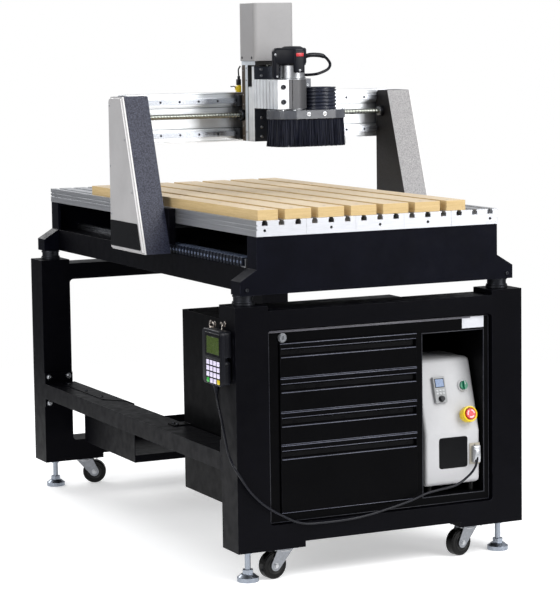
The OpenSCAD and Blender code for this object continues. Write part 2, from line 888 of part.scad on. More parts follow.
module storage_tray() color("#2d3036") {
    t = 2;
    y0 = 170;
    y1 = 600;
    z0 = 167;
    wall_x = rung_x0 - 4;
    lip = 23;
    flange_x = 400;
    flange_y0 = 299;
    flange_y1 = post_y - 10;
    span([-wall_x, y0, z0], [wall_x, y1, z0 + t]);
    span([-wall_x, y0, z0], [wall_x, y0 + t, z0 + lip]);
    span([-wall_x, y1 - t, z0], [wall_x, y1, z0 + 60]);
    both_x() {
        span([wall_x - t, y0, z0], [wall_x, y1, rung_top + t]);
        translate([0, 0, rung_top]) linear_extrude(t) polygon([
            [wall_x - t, y0 + 60], [wall_x, y0 + 60], [flange_x, flange_y0],
            [flange_x, flange_y1], [wall_x - t, flange_y1]
        ]);
    }
}

module levelling_foot() {
    rod_r = 8;
    rod_top = pad_bottom + 40;
    rod_z(0, 12, 0, 0, 30);
    translate([0, 0, 12]) cylinder(h = 8, r1 = 28, r2 = 19);
    translate([0, 0, 19.5]) cylinder(h = 13, r = 16, $fn = 6);
    rod_z(20, rod_top, 0, 0, rod_r);
    difference() {
        translate([0, 0, pad_bottom - 12]) cylinder(h = 12, r = 13, $fn = 6);
        rod_z(pad_bottom - 20, pad_bottom + 10, 0, 0, rod_r - 0.5);
    }
}

module levelling_feet() color("#b7bcc2") {
    for (x = [-foot_x, foot_x], y = [-foot_y, foot_y]) translate([x, y, 0]) levelling_foot();
}

crown_z = 2 * wheel_r + 2.5;
plate_z = pad_bottom - 4;

module caster_plates() color("#c3c6ca") {
    for (x = [-caster_x, caster_x], y = [-foot_y, foot_y]) difference() {
        union() {
            span([x - 38, y - 32, plate_z], [x + 38, y + 32, pad_bottom]);
            rod_z(crown_z + 4, plate_z + 0.5, x, y, 24);
        }
        rod_z(crown_z - cut, pad_bottom + cut, x, y, 5 + run);
    }
}

// A fork that trails along -X before it is turned. The stem turns in the plate's hole.
module caster_fork() {
    cheek_t = 2.5;
    inside = wheel_w / 2 + 1.5;
    crown_t = 3;
    for (side = [-1, 1]) {
        y0 = side > 0 ? inside : -inside - cheek_t;
        hull() {
            rod_y(y0, y0 + cheek_t, -trail, wheel_r, 15);
            span([-27, y0, crown_z], [25, y0 + cheek_t, crown_z + crown_t]);
        }
    }
    span([-27, -inside - cheek_t, crown_z], [25, inside + cheek_t, crown_z + crown_t]);
    rod_z(crown_z, crown_z + crown_t + 0.5, 0, 0, 23);
    rod_z(crown_z, pad_bottom - 1, 0, 0, 5);
    rod_y(-inside - cheek_t - 4, inside + cheek_t + 4, -trail, wheel_r, 5);
}

module caster_wheel() {
    difference() {
        union() {
            rod_y(-wheel_w / 2, wheel_w / 2, -trail, wheel_r, wheel_r - 3);
            rod_y(-wheel_w / 2 + 3, wheel_w / 2 - 3, -trail, wheel_r, wheel_r);
        }
        rod_y(-wheel_w / 2 - cut, wheel_w / 2 + cut, -trail, wheel_r, 5 + run);
    }
}

// Resting angle of each caster, the way that its wheel trails.
angle_fl = 8;
angle_fr = 14;
angle_bl = 156;
angle_br = 20;

module caster_fork_fl() color("#b9bdc3") translate([-caster_x, -foot_y, 0]) rotate(angle_fl) caster_fork();
module caster_fork_fr() color("#b9bdc3") translate([caster_x, -foot_y, 0]) rotate(angle_fr) caster_fork();
module caster_fork_bl() color("#b9bdc3") translate([-caster_x, foot_y, 0]) rotate(angle_bl) caster_fork();
module caster_fork_br() color("#b9bdc3") translate([caster_x, foot_y, 0]) rotate(angle_br) caster_fork();
module caster_wheel_fl() color("#17181a") translate([-caster_x, -foot_y, 0]) rotate(angle_fl) caster_wheel();
module caster_wheel_fr() color("#17181a") translate([caster_x, -foot_y, 0]) rotate(angle_fr) caster_wheel();
module caster_wheel_bl() color("#17181a") translate([-caster_x, foot_y, 0]) rotate(angle_bl) caster_wheel();
module caster_wheel_br() color("#17181a") translate([caster_x, foot_y, 0]) rotate(angle_br) caster_wheel();

// ---------- Cabinet ----------

slide_h = 14;
slide_drop = 40;
lock_x = (drawer_x0 + 12);
lock_z = 665;
lock_r = 8;

module toolbox_case() color("#1a1c20") {
    face = 3;
    part_x = bay_x0 - 12;
    tab = 3;
    difference() {
        union() {
            difference() {
                span([-cab_x, cab_front, cab_bottom], [cab_x, cab_back, cab_top]);
                span(
                    [-cab_x + sheet, cab_front + face, cab_bottom + sheet],
                    [cab_x - sheet, cab_back - sheet, cab_top - sheet]
                );
                span([drawer_x0, cab_front - cut, bay_z0], [drawer_x1, cab_front + face + cut, drawer_zs[0]]);
                span([bay_x0, cab_front - cut, bay_z0], [bay_x1, cab_front + face + cut, bay_z1]);
            }
            // Partition, bay floor, bay roof and bay wall.
            span([part_x, cab_front + 1, cab_bottom + 1], [part_x + sheet, cab_back - 1, cab_top - 1]);
            span([part_x, cab_front + 1, bay_z0 - sheet], [cab_x - 1, -400, bay_z0]);
            span([part_x, cab_front + 1, bay_z1], [cab_x - 1, -400, bay_z1 + sheet]);
            span([bay_x1, cab_front + 1, bay_z0 - 1], [bay_x1 + sheet, -400, bay_z1 + 1]);
            span([bay_x0 - sheet, cab_front + 1, bay_z0 - 1], [bay_x0, -400, bay_z1 + 1]);
            // Fixed halves of the drawer slides and the posts that carry them.
            for (x = [drawer_x0, drawer_x1 - 3]) span(
                [x, cab_front + face + 20, cab_bottom + 1],
                [x + 3, cab_front + face + drawer_l - 20, drawer_zs[0]]
            );
            for (i = [0 : 3]) {
                z = drawer_zs[i] - slide_drop;
                y0 = cab_front + face + 20;
                y1 = cab_front + face + drawer_l - 20;
                span([drawer_x0 + 2, y0, z - slide_h], [drawer_x0 + 9, y1, z]);
                span([drawer_x1 - 9, y0, z - slide_h], [drawer_x1 - 2, y1, z]);
            }
            // Tabs that hang the cabinet on the stand's lower side beams.
            both_x() span([cab_x - 1, cab_back - 48, rung_top], [cab_x + 52, cab_back, rung_top + tab]);
            rod_y(cab_front, cab_front + 22, lock_x, lock_z, lock_r + 4);
        }
        rod_y(cab_front - cut, cab_front + 20, lock_x, lock_z, lock_r + run);
    }
}

// A drawer front with a full-width finger pull at its top, and a sheet metal tray behind it.
module drawer(i) {
    t = 2;
    z1 = drawer_zs[i] - front_gap / 2;
    z0 = drawer_zs[i + 1] + front_gap / 2;
    y0 = cab_front - 6;
    y1 = y0 + front_t;
    x0 = drawer_x0 + 2;
    x1 = drawer_x1 - 2;
    box_x0 = drawer_x0 + 10;
    box_x1 = drawer_x1 - 10;
    box_z0 = z0 + 8;
    box_z1 = z1 - 20;
    box_y1 = y1 + drawer_l - 30;
    pull_z0 = z1 - 38;
    pull_z1 = z1 - 14;
    pull_deep = 11;
    difference() {
        span([x0, y0, z0], [x1, y1, z1]);
        span([x0 + 3, y0 - cut, pull_z0], [x1 - 3, y0 + pull_deep, pull_z1]);
        span([x0 + 3, y0 + 4, pull_z0 + 8], [x1 - 3, y0 + pull_deep, z1 - 8]);
    }
    difference() {
        span([box_x0, y1 - 1, box_z0], [box_x1, box_y1, box_z1]);
        span([box_x0 + t, y1, box_z0 + t], [box_x1 - t, box_y1 - t, box_z1 + cut]);
    }
}

module drawer_1() color("#1e2025") drawer(0);
module drawer_2() color("#1e2025") drawer(1);
module drawer_3() color("#1e2025") drawer(2);
module drawer_4() color("#1e2025") drawer(3);

module toolbox_lock() color("#c9ccd0") difference() {
    union() {
        rod_y(cab_front - 2, cab_front + 18, lock_x, lock_z, lock_r);
        rod_y(cab_front - 6, cab_front - 2, lock_x, lock_z, lock_r + 3);
    }
    span([lock_x - 1, cab_front - 7, lock_z - 5], [lock_x + 1, cab_front - 1, lock_z + 5]);
}

// ---------- Controller and pendant ----------

// Places children on the leaning panel: x across, s up the panel from the fold, z out of it.
module on_panel(x, s) translate([x, ctl_front, ctl_fold]) rotate([-lean, 0, 0]) translate([0, 0, s])
    rotate([90, 0, 0]) children();

ctl_back = -570;
estop_s = 46;
estop_x = 282;
rotary_s = 130;
rotary_x = 286;
module_s = 86;
module_x = 188;
knob_dx = 19;
knob_ds = 11;

module controller_outline(inset) {
    polygon([
        [ctl_front + inset, ctl_bottom + inset], [ctl_front + inset, ctl_fold],
        [ctl_front + inset + tan(lean) * (ctl_top - inset - ctl_fold), ctl_top - inset],
        [ctl_back - inset + (inset > 0 ? 3 * inset : 0), ctl_top - inset],
        [ctl_back - inset + (inset > 0 ? 3 * inset : 0), ctl_bottom + inset]
    ]);
}

module controller_case() color("#c8cacd") {
    wall = 2;
    module_w = 38;
    module_h = 74;
    module_t = 10;
    pot_r = 2.5;
    difference() {
        union() {
            difference() {
                along_x(ctl_x0, ctl_x1) controller_outline(0);
                along_x(ctl_x0 + wall, ctl_x1 - wall) controller_outline(wall);
            }
            for (x = [ctl_x0 + 20, ctl_x1 - 20], y = [ctl_front + 20, ctl_back - 20]) {
                rod_z(bay_z0, ctl_bottom + 0.5, x, y, 9);
            }
            on_panel(module_x, module_s) translate([0, 0, -1]) cube([module_w, module_h, module_t + 1]);
            on_panel(estop_x, estop_s) translate([0, 0, -1]) cylinder(h = 11, r = 20);
            on_panel(estop_x, estop_s) translate([0, 0, 9]) cylinder(h = 20, r = 23);
            on_panel(rotary_x, rotary_s) translate([0, 0, -1]) cylinder(h = 5, r = 15);
        }
        on_panel(estop_x, estop_s) translate([0, 0, -10]) cylinder(h = 30, r = 8 + run);
        on_panel(estop_x, estop_s) translate([0, 0, 19]) cylinder(h = 12, r = 17);
        on_panel(rotary_x, rotary_s) translate([0, 0, -10]) cylinder(h = 20, r = 5 + run);
        on_panel(module_x + knob_dx, module_s + knob_ds) translate([0, 0, 2]) cylinder(h = 20, r = pot_r + run);
    }
}

module display_knob() color("#3f4146") on_panel(module_x + knob_dx, module_s + knob_ds) {
    translate([0, 0, 3]) cylinder(h = 8, r = 2.5);
    translate([0, 0, 10.6]) cylinder(h = 9, r = 7);
}

module rotary_switch() color("#1f7a4a") on_panel(rotary_x, rotary_s) {
    translate([0, 0, -8]) cylinder(h = 13, r = 5);
    translate([0, 0, 4.6]) cylinder(h = 6, r = 12);
    translate([-3, -12, 10]) cube([6, 24, 7]);
}

module estop_button() color("#b3211f") on_panel(estop_x, estop_s) {
    translate([0, 0, -8]) cylinder(h = 33, r = 8);
    translate([0, 0, 24.5]) cylinder(h = 8, r = 15);
}

module pendant() color("#26282c") {
    corner = 14;
    relief_r = 7;
    along_x(pendant_back - pendant_t, pendant_back)
        translate([pendant_y0, pendant_z0]) round_rect(pendant_w, pendant_h, corner);
    rod_z(pendant_z0 - 16, pendant_z0 + 1, pendant_back - pendant_t / 2, pendant_y0 + 68, relief_r);
}

base_end_frames();
base_side_beams();
machine_feet();
t_slot_table();
spoilboard_slats();
y_rails();
y_ballscrew();
y_motor();
y_cable_chain();
gantry_legs();
gantry_side_covers();
gantry_lower_beam();
y_bearing_blocks();
gantry_beam();
x_rails();
x_ballscrew();
x_screw_bearings();
x_motor();
x_carriage_plate();
x_bearing_blocks();
x_ball_nut();
z_column();
z_bearing_blocks();
z_ballscrew();
z_motor();
z_motor_cover();
z_slide_plate();
z_rails();
router_clamp();
router_body();
router_sleeve();
router_speed_dial();
router_collet();
dust_shoe();
dust_brush();
hose_port();
stand_end_frames();
stand_side_beams();
storage_tray();
levelling_feet();
caster_plates();
caster_fork_fl();
caster_fork_fr();
caster_fork_bl();
caster_fork_br();
caster_wheel_fl();
caster_wheel_fr();
caster_wheel_bl();
caster_wheel_br();
toolbox_case();
drawer_1();
drawer_2();
drawer_3();
drawer_4();
toolbox_lock();
controller_case();
display_knob();
rotary_switch();
estop_button();
pendant();
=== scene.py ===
"""CNC router: the looks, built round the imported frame. Lengths are in millimetres unless noted."""

import math
import random

import bmesh
import bpy
from mathutils import Matrix, Vector


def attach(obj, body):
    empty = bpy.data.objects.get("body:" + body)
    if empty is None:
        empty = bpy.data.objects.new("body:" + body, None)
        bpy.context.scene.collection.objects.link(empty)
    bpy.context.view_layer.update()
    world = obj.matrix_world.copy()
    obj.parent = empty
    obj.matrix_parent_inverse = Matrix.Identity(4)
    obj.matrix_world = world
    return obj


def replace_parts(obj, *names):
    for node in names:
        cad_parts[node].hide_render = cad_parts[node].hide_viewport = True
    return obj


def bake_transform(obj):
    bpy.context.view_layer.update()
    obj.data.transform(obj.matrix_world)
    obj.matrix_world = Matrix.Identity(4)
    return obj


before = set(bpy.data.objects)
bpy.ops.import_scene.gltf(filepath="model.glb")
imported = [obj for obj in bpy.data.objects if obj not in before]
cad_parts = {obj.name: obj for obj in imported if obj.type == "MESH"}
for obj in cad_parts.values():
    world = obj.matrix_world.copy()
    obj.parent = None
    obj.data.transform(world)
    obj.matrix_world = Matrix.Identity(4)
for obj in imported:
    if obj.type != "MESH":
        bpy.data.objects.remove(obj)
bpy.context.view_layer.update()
MM = 0.001
BEVEL_WIDTH = 1.2 * MM
LEFT, RIGHT = (-1, 0, 0), (1, 0, 0)
FRONT, BACK = (0, -1, 0), (0, 1, 0)
DOWN, UP = (0, 0, -1), (0, 0, 1)
scene = bpy.context.scene


# ---------------------------------------------------------------- materials


class Shader:
    """A material's node tree, with short calls for the few nodes that the recipes use."""

    def __init__(self, name):
        self.material = bpy.data.materials.new(name)
        self.material.use_nodes = True
        self.nodes = self.material.node_tree.nodes
        self.links = self.material.node_tree.links
        self.bsdf = self.nodes["Principled BSDF"]
        self.coord = self.nodes.new("ShaderNodeTexCoord")

    def link(self, value, socket):
        if isinstance(value, bpy.types.NodeSocket):
            self.links.new(value, socket)
        elif isinstance(value, (tuple, list)) and len(value) == 3 and socket.type == "RGBA":
            socket.default_value = (*value, 1)
        else:
            socket.default_value = value

    def set(self, name, value):
        self.link(value, self.bsdf.inputs[name])

    def mapped(self, stretch):
        node = self.nodes.new("ShaderNodeMapping")
        node.inputs["Scale"].default_value = stretch
        self.links.new(self.coord.outputs["Object"], node.inputs["Vector"])
        return node.outputs["Vector"]

    def noise(self, scale, detail=3.0, rough=0.5, stretch=(1, 1, 1)):
        node = self.nodes.new("ShaderNodeTexNoise")
        node.inputs["Scale"].default_value = scale
        node.inputs["Detail"].default_value = detail
        node.inputs["Roughness"].default_value = rough
        self.links.new(self.mapped(stretch), node.inputs["Vector"])
        return node.outputs["Fac"]

    def cells(self, scale):
        node = self.nodes.new("ShaderNodeTexVoronoi")
        node.feature = "SMOOTH_F1"
        node.inputs["Scale"].default_value = scale
        self.links.new(self.mapped((1, 1, 1)), node.inputs["Vector"])
        return node.outputs["Distance"]

    def math(self, operation, a, b=0.0):
        node = self.nodes.new("ShaderNodeMath")
        node.operation = operation
        self.link(a, node.inputs[0])
        self.link(b, node.inputs[1])
        return node.outputs[0]

    def span(self, value, low, high, to_low=0.0, to_high=1.0):
        node = self.nodes.new("ShaderNodeMapRange")
        self.link(value, node.inputs["Value"])
        for name, number in zip(("From Min", "From Max", "To Min", "To Max"), (low, high, to_low, to_high)):
            node.inputs[name].default_value = number
        return node.outputs["Result"]

    def mix(self, amount, a, b, kind="MIX"):
        node = self.nodes.new("ShaderNodeMix")
        node.data_type = "RGBA"
        node.blend_type = kind
        self.link(amount, node.inputs["Factor"])
        self.link(a, node.inputs["A"])
        self.link(b, node.inputs["B"])
        return node.outputs["Result"]

    def bump(self, height, distance, strength=1.0, normal=None):
        node = self.nodes.new("ShaderNodeBump")
        node.inputs["Distance"].default_value = distance
        node.inputs["Strength"].default_value = strength
        self.link(height, node.inputs["Height"])
        if normal is not None:
            self.link(normal, node.inputs["Normal"])
        return node.outputs["Normal"]

    def edges(self):
        """1 along sharp edges, broken up by noise, and 0 elsewhere."""
        bevel = self.nodes.new("ShaderNodeBevel")
        bevel.samples = 4
        bevel.inputs["Radius"].default_value = BEVEL_WIDTH
        plain = self.nodes.new("ShaderNodeNewGeometry")
        dot = self.nodes.new("ShaderNodeVectorMath")
        dot.operation = "DOT_PRODUCT"
        self.links.new(bevel.outputs["Normal"], dot.inputs[0])
        self.links.new(plain.outputs["Normal"], dot.inputs[1])
        edge = self.span(dot.outputs["Value"], 0.985, 0.86)
        return self.math("MULTIPLY", edge, self.span(self.noise(60.0, 4.0), 0.38, 0.62))

    def facing(self, axis):
        """The rest normal's component along an axis of the object."""
        node = self.nodes.new("ShaderNodeSeparateXYZ")
        self.links.new(self.coord.outputs["Normal"], node.inputs[0])
        return node.outputs["XYZ".index(axis)]

    def place(self, axis):
        """The position along an axis of the object, in metres."""
        node = self.nodes.new("ShaderNodeSeparateXYZ")
        self.links.new(self.coord.outputs["Object"], node.inputs[0])
        return node.outputs["XYZ".index(axis)]


def tint(color, factor):
    return tuple(min(1.0, c * factor) for c in color)


def painted(name, color, rough=0.42, tone=0.18, grain=1500.0, depth=0.00004, edge_mix=0.5,
            edge_wear_and_highlight=(0.30, 0.30, 0.31), specular=0.4, coat=0.0):
    """Powder coat or moulded plastic: fine grain, soft tones, edges lighter, partly rubbed, partly painted
    highlight.
    """
    s = Shader(name)
    tones = s.math("ADD", s.math("MULTIPLY", s.noise(9.0, 4.0), 0.65),
                   s.math("MULTIPLY", s.noise(140.0), 0.35))
    body = s.mix(s.span(tones, 0.35, 0.65), tint(color, 1 - tone), tint(color, 1 + tone))
    shine = s.span(s.noise(34.0, 5.0), 0.3, 0.7, rough - 0.07, rough + 0.09)
    if edge_mix:
        edge = s.math("MULTIPLY", s.edges(), edge_mix)
        body = s.mix(edge, body, edge_wear_and_highlight)
        shine = s.math("SUBTRACT", shine, s.math("MULTIPLY", edge, 0.12))
    s.set("Base Color", body)
    s.set("Roughness", shine)
    s.set("Specular IOR Level", specular)
    s.set("Coat Weight", coat)
    s.set("Coat Roughness", 0.25)
    s.set("Normal", s.bump(s.noise(grain, 2.0), depth))
    return s.material


def metal(name, color, rough=0.3, brush=(1, 1, 1), streak=220.0, tone=0.10, depth=0.00002, edge_mix=0.0,
          specks=0.0):
    """Bare metal. brush stretches the scratches: a small number makes them run along that axis."""
    s = Shader(name)
    streaks = s.noise(streak, 5.0, 0.6, brush)
    cloud = s.noise(12.0, 4.0)
    body = s.mix(s.span(streaks, 0.3, 0.7), tint(color, 1 - tone), tint(color, 1 + tone * 0.6))
    body = s.mix(s.span(cloud, 0.4, 0.7, 0.0, 0.25), body, tint(color, 0.86))
    if specks:
        body = s.mix(s.span(s.noise(480.0, 2.0), 0.62, 0.70, 0.0, specks), body, tint(color, 0.5))
    if edge_mix:
        body = s.mix(s.math("MULTIPLY", s.edges(), edge_mix), body, tint(color, 1.5))
    s.set("Base Color", body)
    s.set("Metallic", 1.0)
    s.set("Roughness", s.math("ADD", s.span(streaks, 0.3, 0.7, rough - 0.06, rough + 0.08),
                              s.span(cloud, 0.3, 0.7, -0.03, 0.05)))
    s.set("Normal", s.bump(streaks, depth))
    return s.material


def fibreboard():
    """Bare fibreboard: smooth pale faces, darker fuzzy sawn sides, fine fibres and a few scuffs."""
    s = Shader("fibreboard")
    fibre = s.noise(620.0, 6.0, 0.7, (1, 0.35, 1))
    cloud = s.noise(7.0, 5.0, 0.6, (1, 0.4, 1))
    top = s.mix(s.span(cloud, 0.35, 0.68), (0.66, 0.53, 0.37), (0.74, 0.62, 0.45))
    top = s.mix(s.span(fibre, 0.55, 0.75, 0.0, 0.35), top, (0.60, 0.45, 0.27))
    layers = s.noise(90.0, 4.0, 0.6, (0.15, 0.15, 3))
    side = s.mix(s.span(layers, 0.3, 0.7), (0.60, 0.43, 0.20), (0.70, 0.52, 0.27))
    side = s.mix(s.span(fibre, 0.5, 0.72, 0.0, 0.5), side, (0.44, 0.29, 0.12))
    up = s.span(s.facing("Z"), 0.4, 0.8)
    body = s.mix(up, side, top)
    scuff = s.math("MULTIPLY", s.span(s.noise(30.0, 3.0, 0.5, (1, 12, 1)), 0.66, 0.72, 0.0, 0.25), up)
    s.set("Base Color", s.mix(scuff, body, (0.52, 0.40, 0.26)))
    s.set("Roughness", s.span(fibre, 0.3, 0.7, 0.62, 0.85))
    s.set("Specular IOR Level", 0.25)
    s.set("Normal", s.bump(fibre, 0.00012, 0.6))
    return s.material


def cover_paint():
    """Covers: a light face, whiter on every surface that doesn't face along X (the bevelled rim)."""
    s = Shader("cover_paint")
    face = s.mix(s.span(s.noise(8.0, 4.0), 0.35, 0.65), (0.455, 0.445, 0.445), (0.500, 0.490, 0.490))
    flat = s.span(s.math("ABSOLUTE", s.facing("X")), 0.93, 0.99)
    body = s.mix(flat, (0.80, 0.79, 0.785), face)
    body = s.mix(s.span(s.noise(260.0, 2.0), 0.6, 0.7, 0.0, 0.08), body, (0.30, 0.29, 0.29))
    s.set("Base Color", body)
    s.set("Roughness", s.span(s.noise(40.0, 4.0), 0.3, 0.7, 0.36, 0.50))
    s.set("Specular IOR Level", 0.35)
    s.set("Normal", s.bump(s.noise(1300.0, 2.0), 0.00004))
    return s.material


def table_metal():
    """Extruded aluminium: sawn bright ends, drawn lines along Y elsewhere."""
    s = Shader("table_metal")
    drawn = s.noise(420.0, 5.0, 0.6, (1, 0.01, 1))
    sawn = s.noise(500.0, 4.0, 0.6, (0.05, 1, 1))
    end = s.span(s.math("ABSOLUTE", s.facing("Y")), 0.6, 0.9)
    side = s.mix(s.span(drawn, 0.3, 0.7), (0.50, 0.51, 0.53), (0.66, 0.67, 0.69))
    face = s.mix(s.span(sawn, 0.3, 0.7), (0.57, 0.58, 0.61), (0.67, 0.68, 0.72))
    s.set("Base Color", s.mix(end, side, face))
    s.set("Metallic", s.span(end, 0.0, 1.0, 0.9, 0.35))
    s.set("Roughness", s.span(drawn, 0.3, 0.7, 0.30, 0.44))
    s.set("Normal", s.bump(drawn, 0.00003))
    return s.material


def bristle_paint():
    """Nylon filaments: blue-black, streaked lighter and darker along their length."""
    s = Shader("bristle_paint")
    strand = s.noise(700.0, 3.0, 0.6, (1, 1, 0.04))
    body = s.mix(s.span(strand, 0.35, 0.7), (0.003, 0.0035, 0.007), (0.022, 0.026, 0.050))
    s.set("Base Color", body)
    s.set("Roughness", s.span(strand, 0.3, 0.7, 0.32, 0.55))
    s.set("Specular IOR Level", 0.22)
    s.set("Normal", s.bump(strand, 0.00006))
    return s.material


def glow(name, color, strength):
    """A lit display. The pendant keys use it too, as a painted glow: they are no lamps."""
    s = Shader(name)
    body = s.mix(s.span(s.noise(300.0), 0.3, 0.7), tint(color, 0.8), tint(color, 1.15))
    s.set("Base Color", body)
    s.set("Roughness", s.span(s.noise(50.0), 0.3, 0.7, 0.15, 0.28))
    s.set("Emission Color", body)
    s.set("Emission Strength", strength)
    return s.material


def smoked():
    """Smoked clear plastic of the dust shoe."""
    s = Shader("smoked_plastic")
    s.set("Base Color", s.mix(s.span(s.noise(9.0), 0.3, 0.7), (0.095, 0.102, 0.120), (0.160, 0.170, 0.195)))
    s.set("Roughness", s.span(s.noise(60.0, 4.0), 0.3, 0.7, 0.10, 0.22))
    s.set("Transmission Weight", 0.35)
    s.set("IOR", 1.49)
    s.set("Normal", s.bump(s.noise(700.0), 0.00001))
    return s.material


def sided(name, front, side, top, rough=0.3, front_metal=0.6, shade_from=None):
    """Milled aluminium; front, sides and top coloured apart as painted light. Beyond shade_from along X:
    painted shade.
    """
    s = Shader(name)
    streaks = s.noise(420.0, 5.0, 0.6, (1, 1, 0.03))
    cloud = s.noise(14.0, 4.0)
    ahead = s.span(s.facing("Y"), -0.5, -0.85)
    up = s.span(s.math("ABSOLUTE", s.facing("Z")), 0.6, 0.9)
    # Front, sides and top take their own colours: painted light and shade.
    body = s.mix(up, s.mix(ahead, side, front), top)
    dark = s.mix(s.span(cloud, 0.35, 0.7), (0.80, 0.80, 0.80), (1, 1, 1))
    body = s.mix(1.0, body, dark, "MULTIPLY")
    if shade_from is not None:
        body = s.mix(s.span(s.place("X"), shade_from, shade_from + 0.002), body, (0.10, 0.10, 0.105))
    s.set("Base Color", s.mix(s.math("MULTIPLY", s.edges(), 0.5), body, (0.85, 0.86, 0.88)))
    s.set("Metallic", s.span(ahead, 0.0, 1.0, 0.15, front_metal))
    s.set("Roughness", s.span(streaks, 0.3, 0.7, rough - 0.05, rough + 0.10))
    s.set("Normal", s.bump(streaks, 0.00002))
    return s.material


def cast_paint():
    """Blue-grey hammer paint, with painted light on the right casting's sloped front and painted shade on its
    inner side.
    """
    s = Shader("cast_paint")
    dimple = s.cells(300.0)
    fleck = s.noise(420.0, 3.0, 0.6)
    dark = s.mix(s.span(dimple, 0.15, 0.6), (0.040, 0.045, 0.078), (0.013, 0.015, 0.030))
    dark = s.mix(s.span(fleck, 0.56, 0.74, 0.0, 0.45), dark, (0.12, 0.13, 0.19))
    pale = s.mix(s.span(fleck, 0.36, 0.64), (0.20, 0.195, 0.20), (0.44, 0.43, 0.43))
    # Painted light: the right casting's sloped front turns pale and granular. Painted shade: its inner side
    # turns dark.
    right = s.math("MULTIPLY", s.span(s.place("X"), 0.0, 0.1), s.span(s.facing("Y"), -0.45, -0.75))
    inner = s.math("MULTIPLY", s.span(s.place("X"), 0.0, 0.1), s.span(s.facing("X"), -0.6, -0.9))
    body = s.mix(inner, s.mix(right, dark, pale), (0.012, 0.011, 0.012))
    s.set("Base Color", s.mix(s.math("MULTIPLY", s.edges(), 0.3), body, (0.22, 0.22, 0.27)))
    s.set("Roughness", s.span(dimple, 0.1, 0.6, 0.34, 0.52))
    s.set("Specular IOR Level", 0.28)
    s.set("Normal", s.bump(dimple, 0.0004, 0.5, s.bump(s.noise(1400.0), 0.00003)))
    return s.material


# On the dark paints and plastics below, the lighter edge colour is partly rubbed-off paint and partly painted
# edge highlight.
BLACK = painted("black_satin", (0.0020, 0.0020, 0.0032), 0.38, edge_mix=0.5, edge_wear_and_highlight=(0.060, 0.062, 0.080),
                specular=0.042)
PANEL = painted("black_panel", (0.0016, 0.0016, 0.0020), 0.38, edge_mix=0.5, edge_wear_and_highlight=(0.050, 0.051, 0.062),
                specular=0.03)
BASE = painted("base_paint", (0.0030, 0.0033, 0.0066), 0.38, 0.25, 420.0, 0.00010, 0.6, (0.080, 0.084, 0.120),
               0.045)
CAST = cast_paint()
COVER = cover_paint()
WARM = painted("warm_grey", (0.385, 0.378, 0.380), 0.42, 0.03, edge_mix=0.2, edge_wear_and_highlight=(0.70, 0.69, 0.68),
               specular=0.25)
WARM_DARK = painted("warm_dark", (0.085, 0.066, 0.052), 0.40, 0.20, edge_mix=0.3, edge_wear_and_highlight=(0.3, 0.28, 0.25),
                    specular=0.3)
WHITE = painted("controller_white", (0.48, 0.48, 0.49), 0.40, 0.03, edge_mix=0.2, edge_wear_and_highlight=(0.82, 0.82, 0.83),
                specular=0.3)
MDF = fibreboard()
TABLE = table_metal()
BEAM = metal("beam_aluminium", (0.86, 0.88, 0.90), 0.30, (0.01, 1, 1), 500.0, 0.05, depth=0.000004)
# The front, side and top colours of the milled parts below are painted light and shade, as is the clamp's
# dark end past shade_from.
MILLED = sided("milled_aluminium", (0.055, 0.062, 0.080), (0.72, 0.76, 0.80), (0.7, 0.7, 0.7))
# A lighter copy of the milled metal, laid on the slide's side as painted light.
MILLED_PAINTED_LIGHT = sided("milled_painted_light", (0.90, 0.91, 0.92), (0.90, 0.93, 0.96), (0.8, 0.8, 0.8), 0.34, 0.3)
COLUMN = sided("column_aluminium", (0.070, 0.068, 0.066), (0.80, 0.86, 0.92), (0.5, 0.5, 0.5))
CLAMP = sided("clamp_aluminium", (0.86, 0.87, 0.89), (0.86, 0.90, 0.94), (0.50, 0.51, 0.53), 0.36, 0.35,
              shade_from=-0.036)
DARK_METAL = metal("dark_metal", (0.16, 0.165, 0.18), 0.40, (1, 1, 0.05), 300.0, 0.15, edge_mix=0.2)
SLEEVE = metal("cast_sleeve", (0.62, 0.63, 0.65), 0.34, (1, 1, 1), 120.0, 0.16, edge_mix=0.2, specks=0.25)
STEEL_X = metal("rail_steel_x", (0.48, 0.50, 0.54), 0.24, (0.01, 1, 1), 600.0, 0.14, specks=0.1)
STEEL_Y = metal("rail_steel_y", (0.25, 0.26, 0.28), 0.26, (1, 0.01, 1), 600.0, 0.12, specks=0.1)
STEEL_Z = metal("rail_steel_z", (0.60, 0.62, 0.65), 0.24, (1, 1, 0.01), 600.0, 0.12, specks=0.1)
SCREW = metal("screw_steel", (0.27, 0.28, 0.25), 0.24, (1, 1, 1), 300.0, 0.12, specks=0.1)
ZINC = metal("zinc_plate", (0.46, 0.47, 0.49), 0.32, (1, 1, 1), 160.0, 0.18, specks=0.25)
CHROME = metal("chrome", (0.72, 0.73, 0.75), 0.14, (1, 1, 1), 90.0, 0.05)
FOOT = metal("foot_plating", (0.30, 0.33, 0.38), 0.30, (1, 1, 1), 160.0, 0.14, specks=0.15)
FORK = metal("fork_plate", (0.25, 0.26, 0.28), 0.34, (1, 1, 1), 160.0, 0.20, specks=0.25)
BRASS = metal("hook_metal", (0.58, 0.52, 0.47), 0.22, (1, 1, 1), 120.0, 0.10)
BOLT = metal("bolt_steel", (0.44, 0.45, 0.47), 0.28, (1, 1, 1), 260.0, 0.12, specks=0.2)
OXIDE = metal("black_oxide", (0.045, 0.047, 0.054), 0.38, (1, 1, 1), 300.0, 0.15)
MOTOR = painted("motor_paint", (0.008, 0.008, 0.009), 0.40, edge_mix=0.3, edge_wear_and_highlight=(0.10, 0.10, 0.11), specular=0.25)
PLASTIC = painted("black_plastic", (0.006, 0.0065, 0.0095), 0.36, 0.15, 1100.0, 0.00005, 0.2,
                  (0.04, 0.04, 0.055), 0.28)
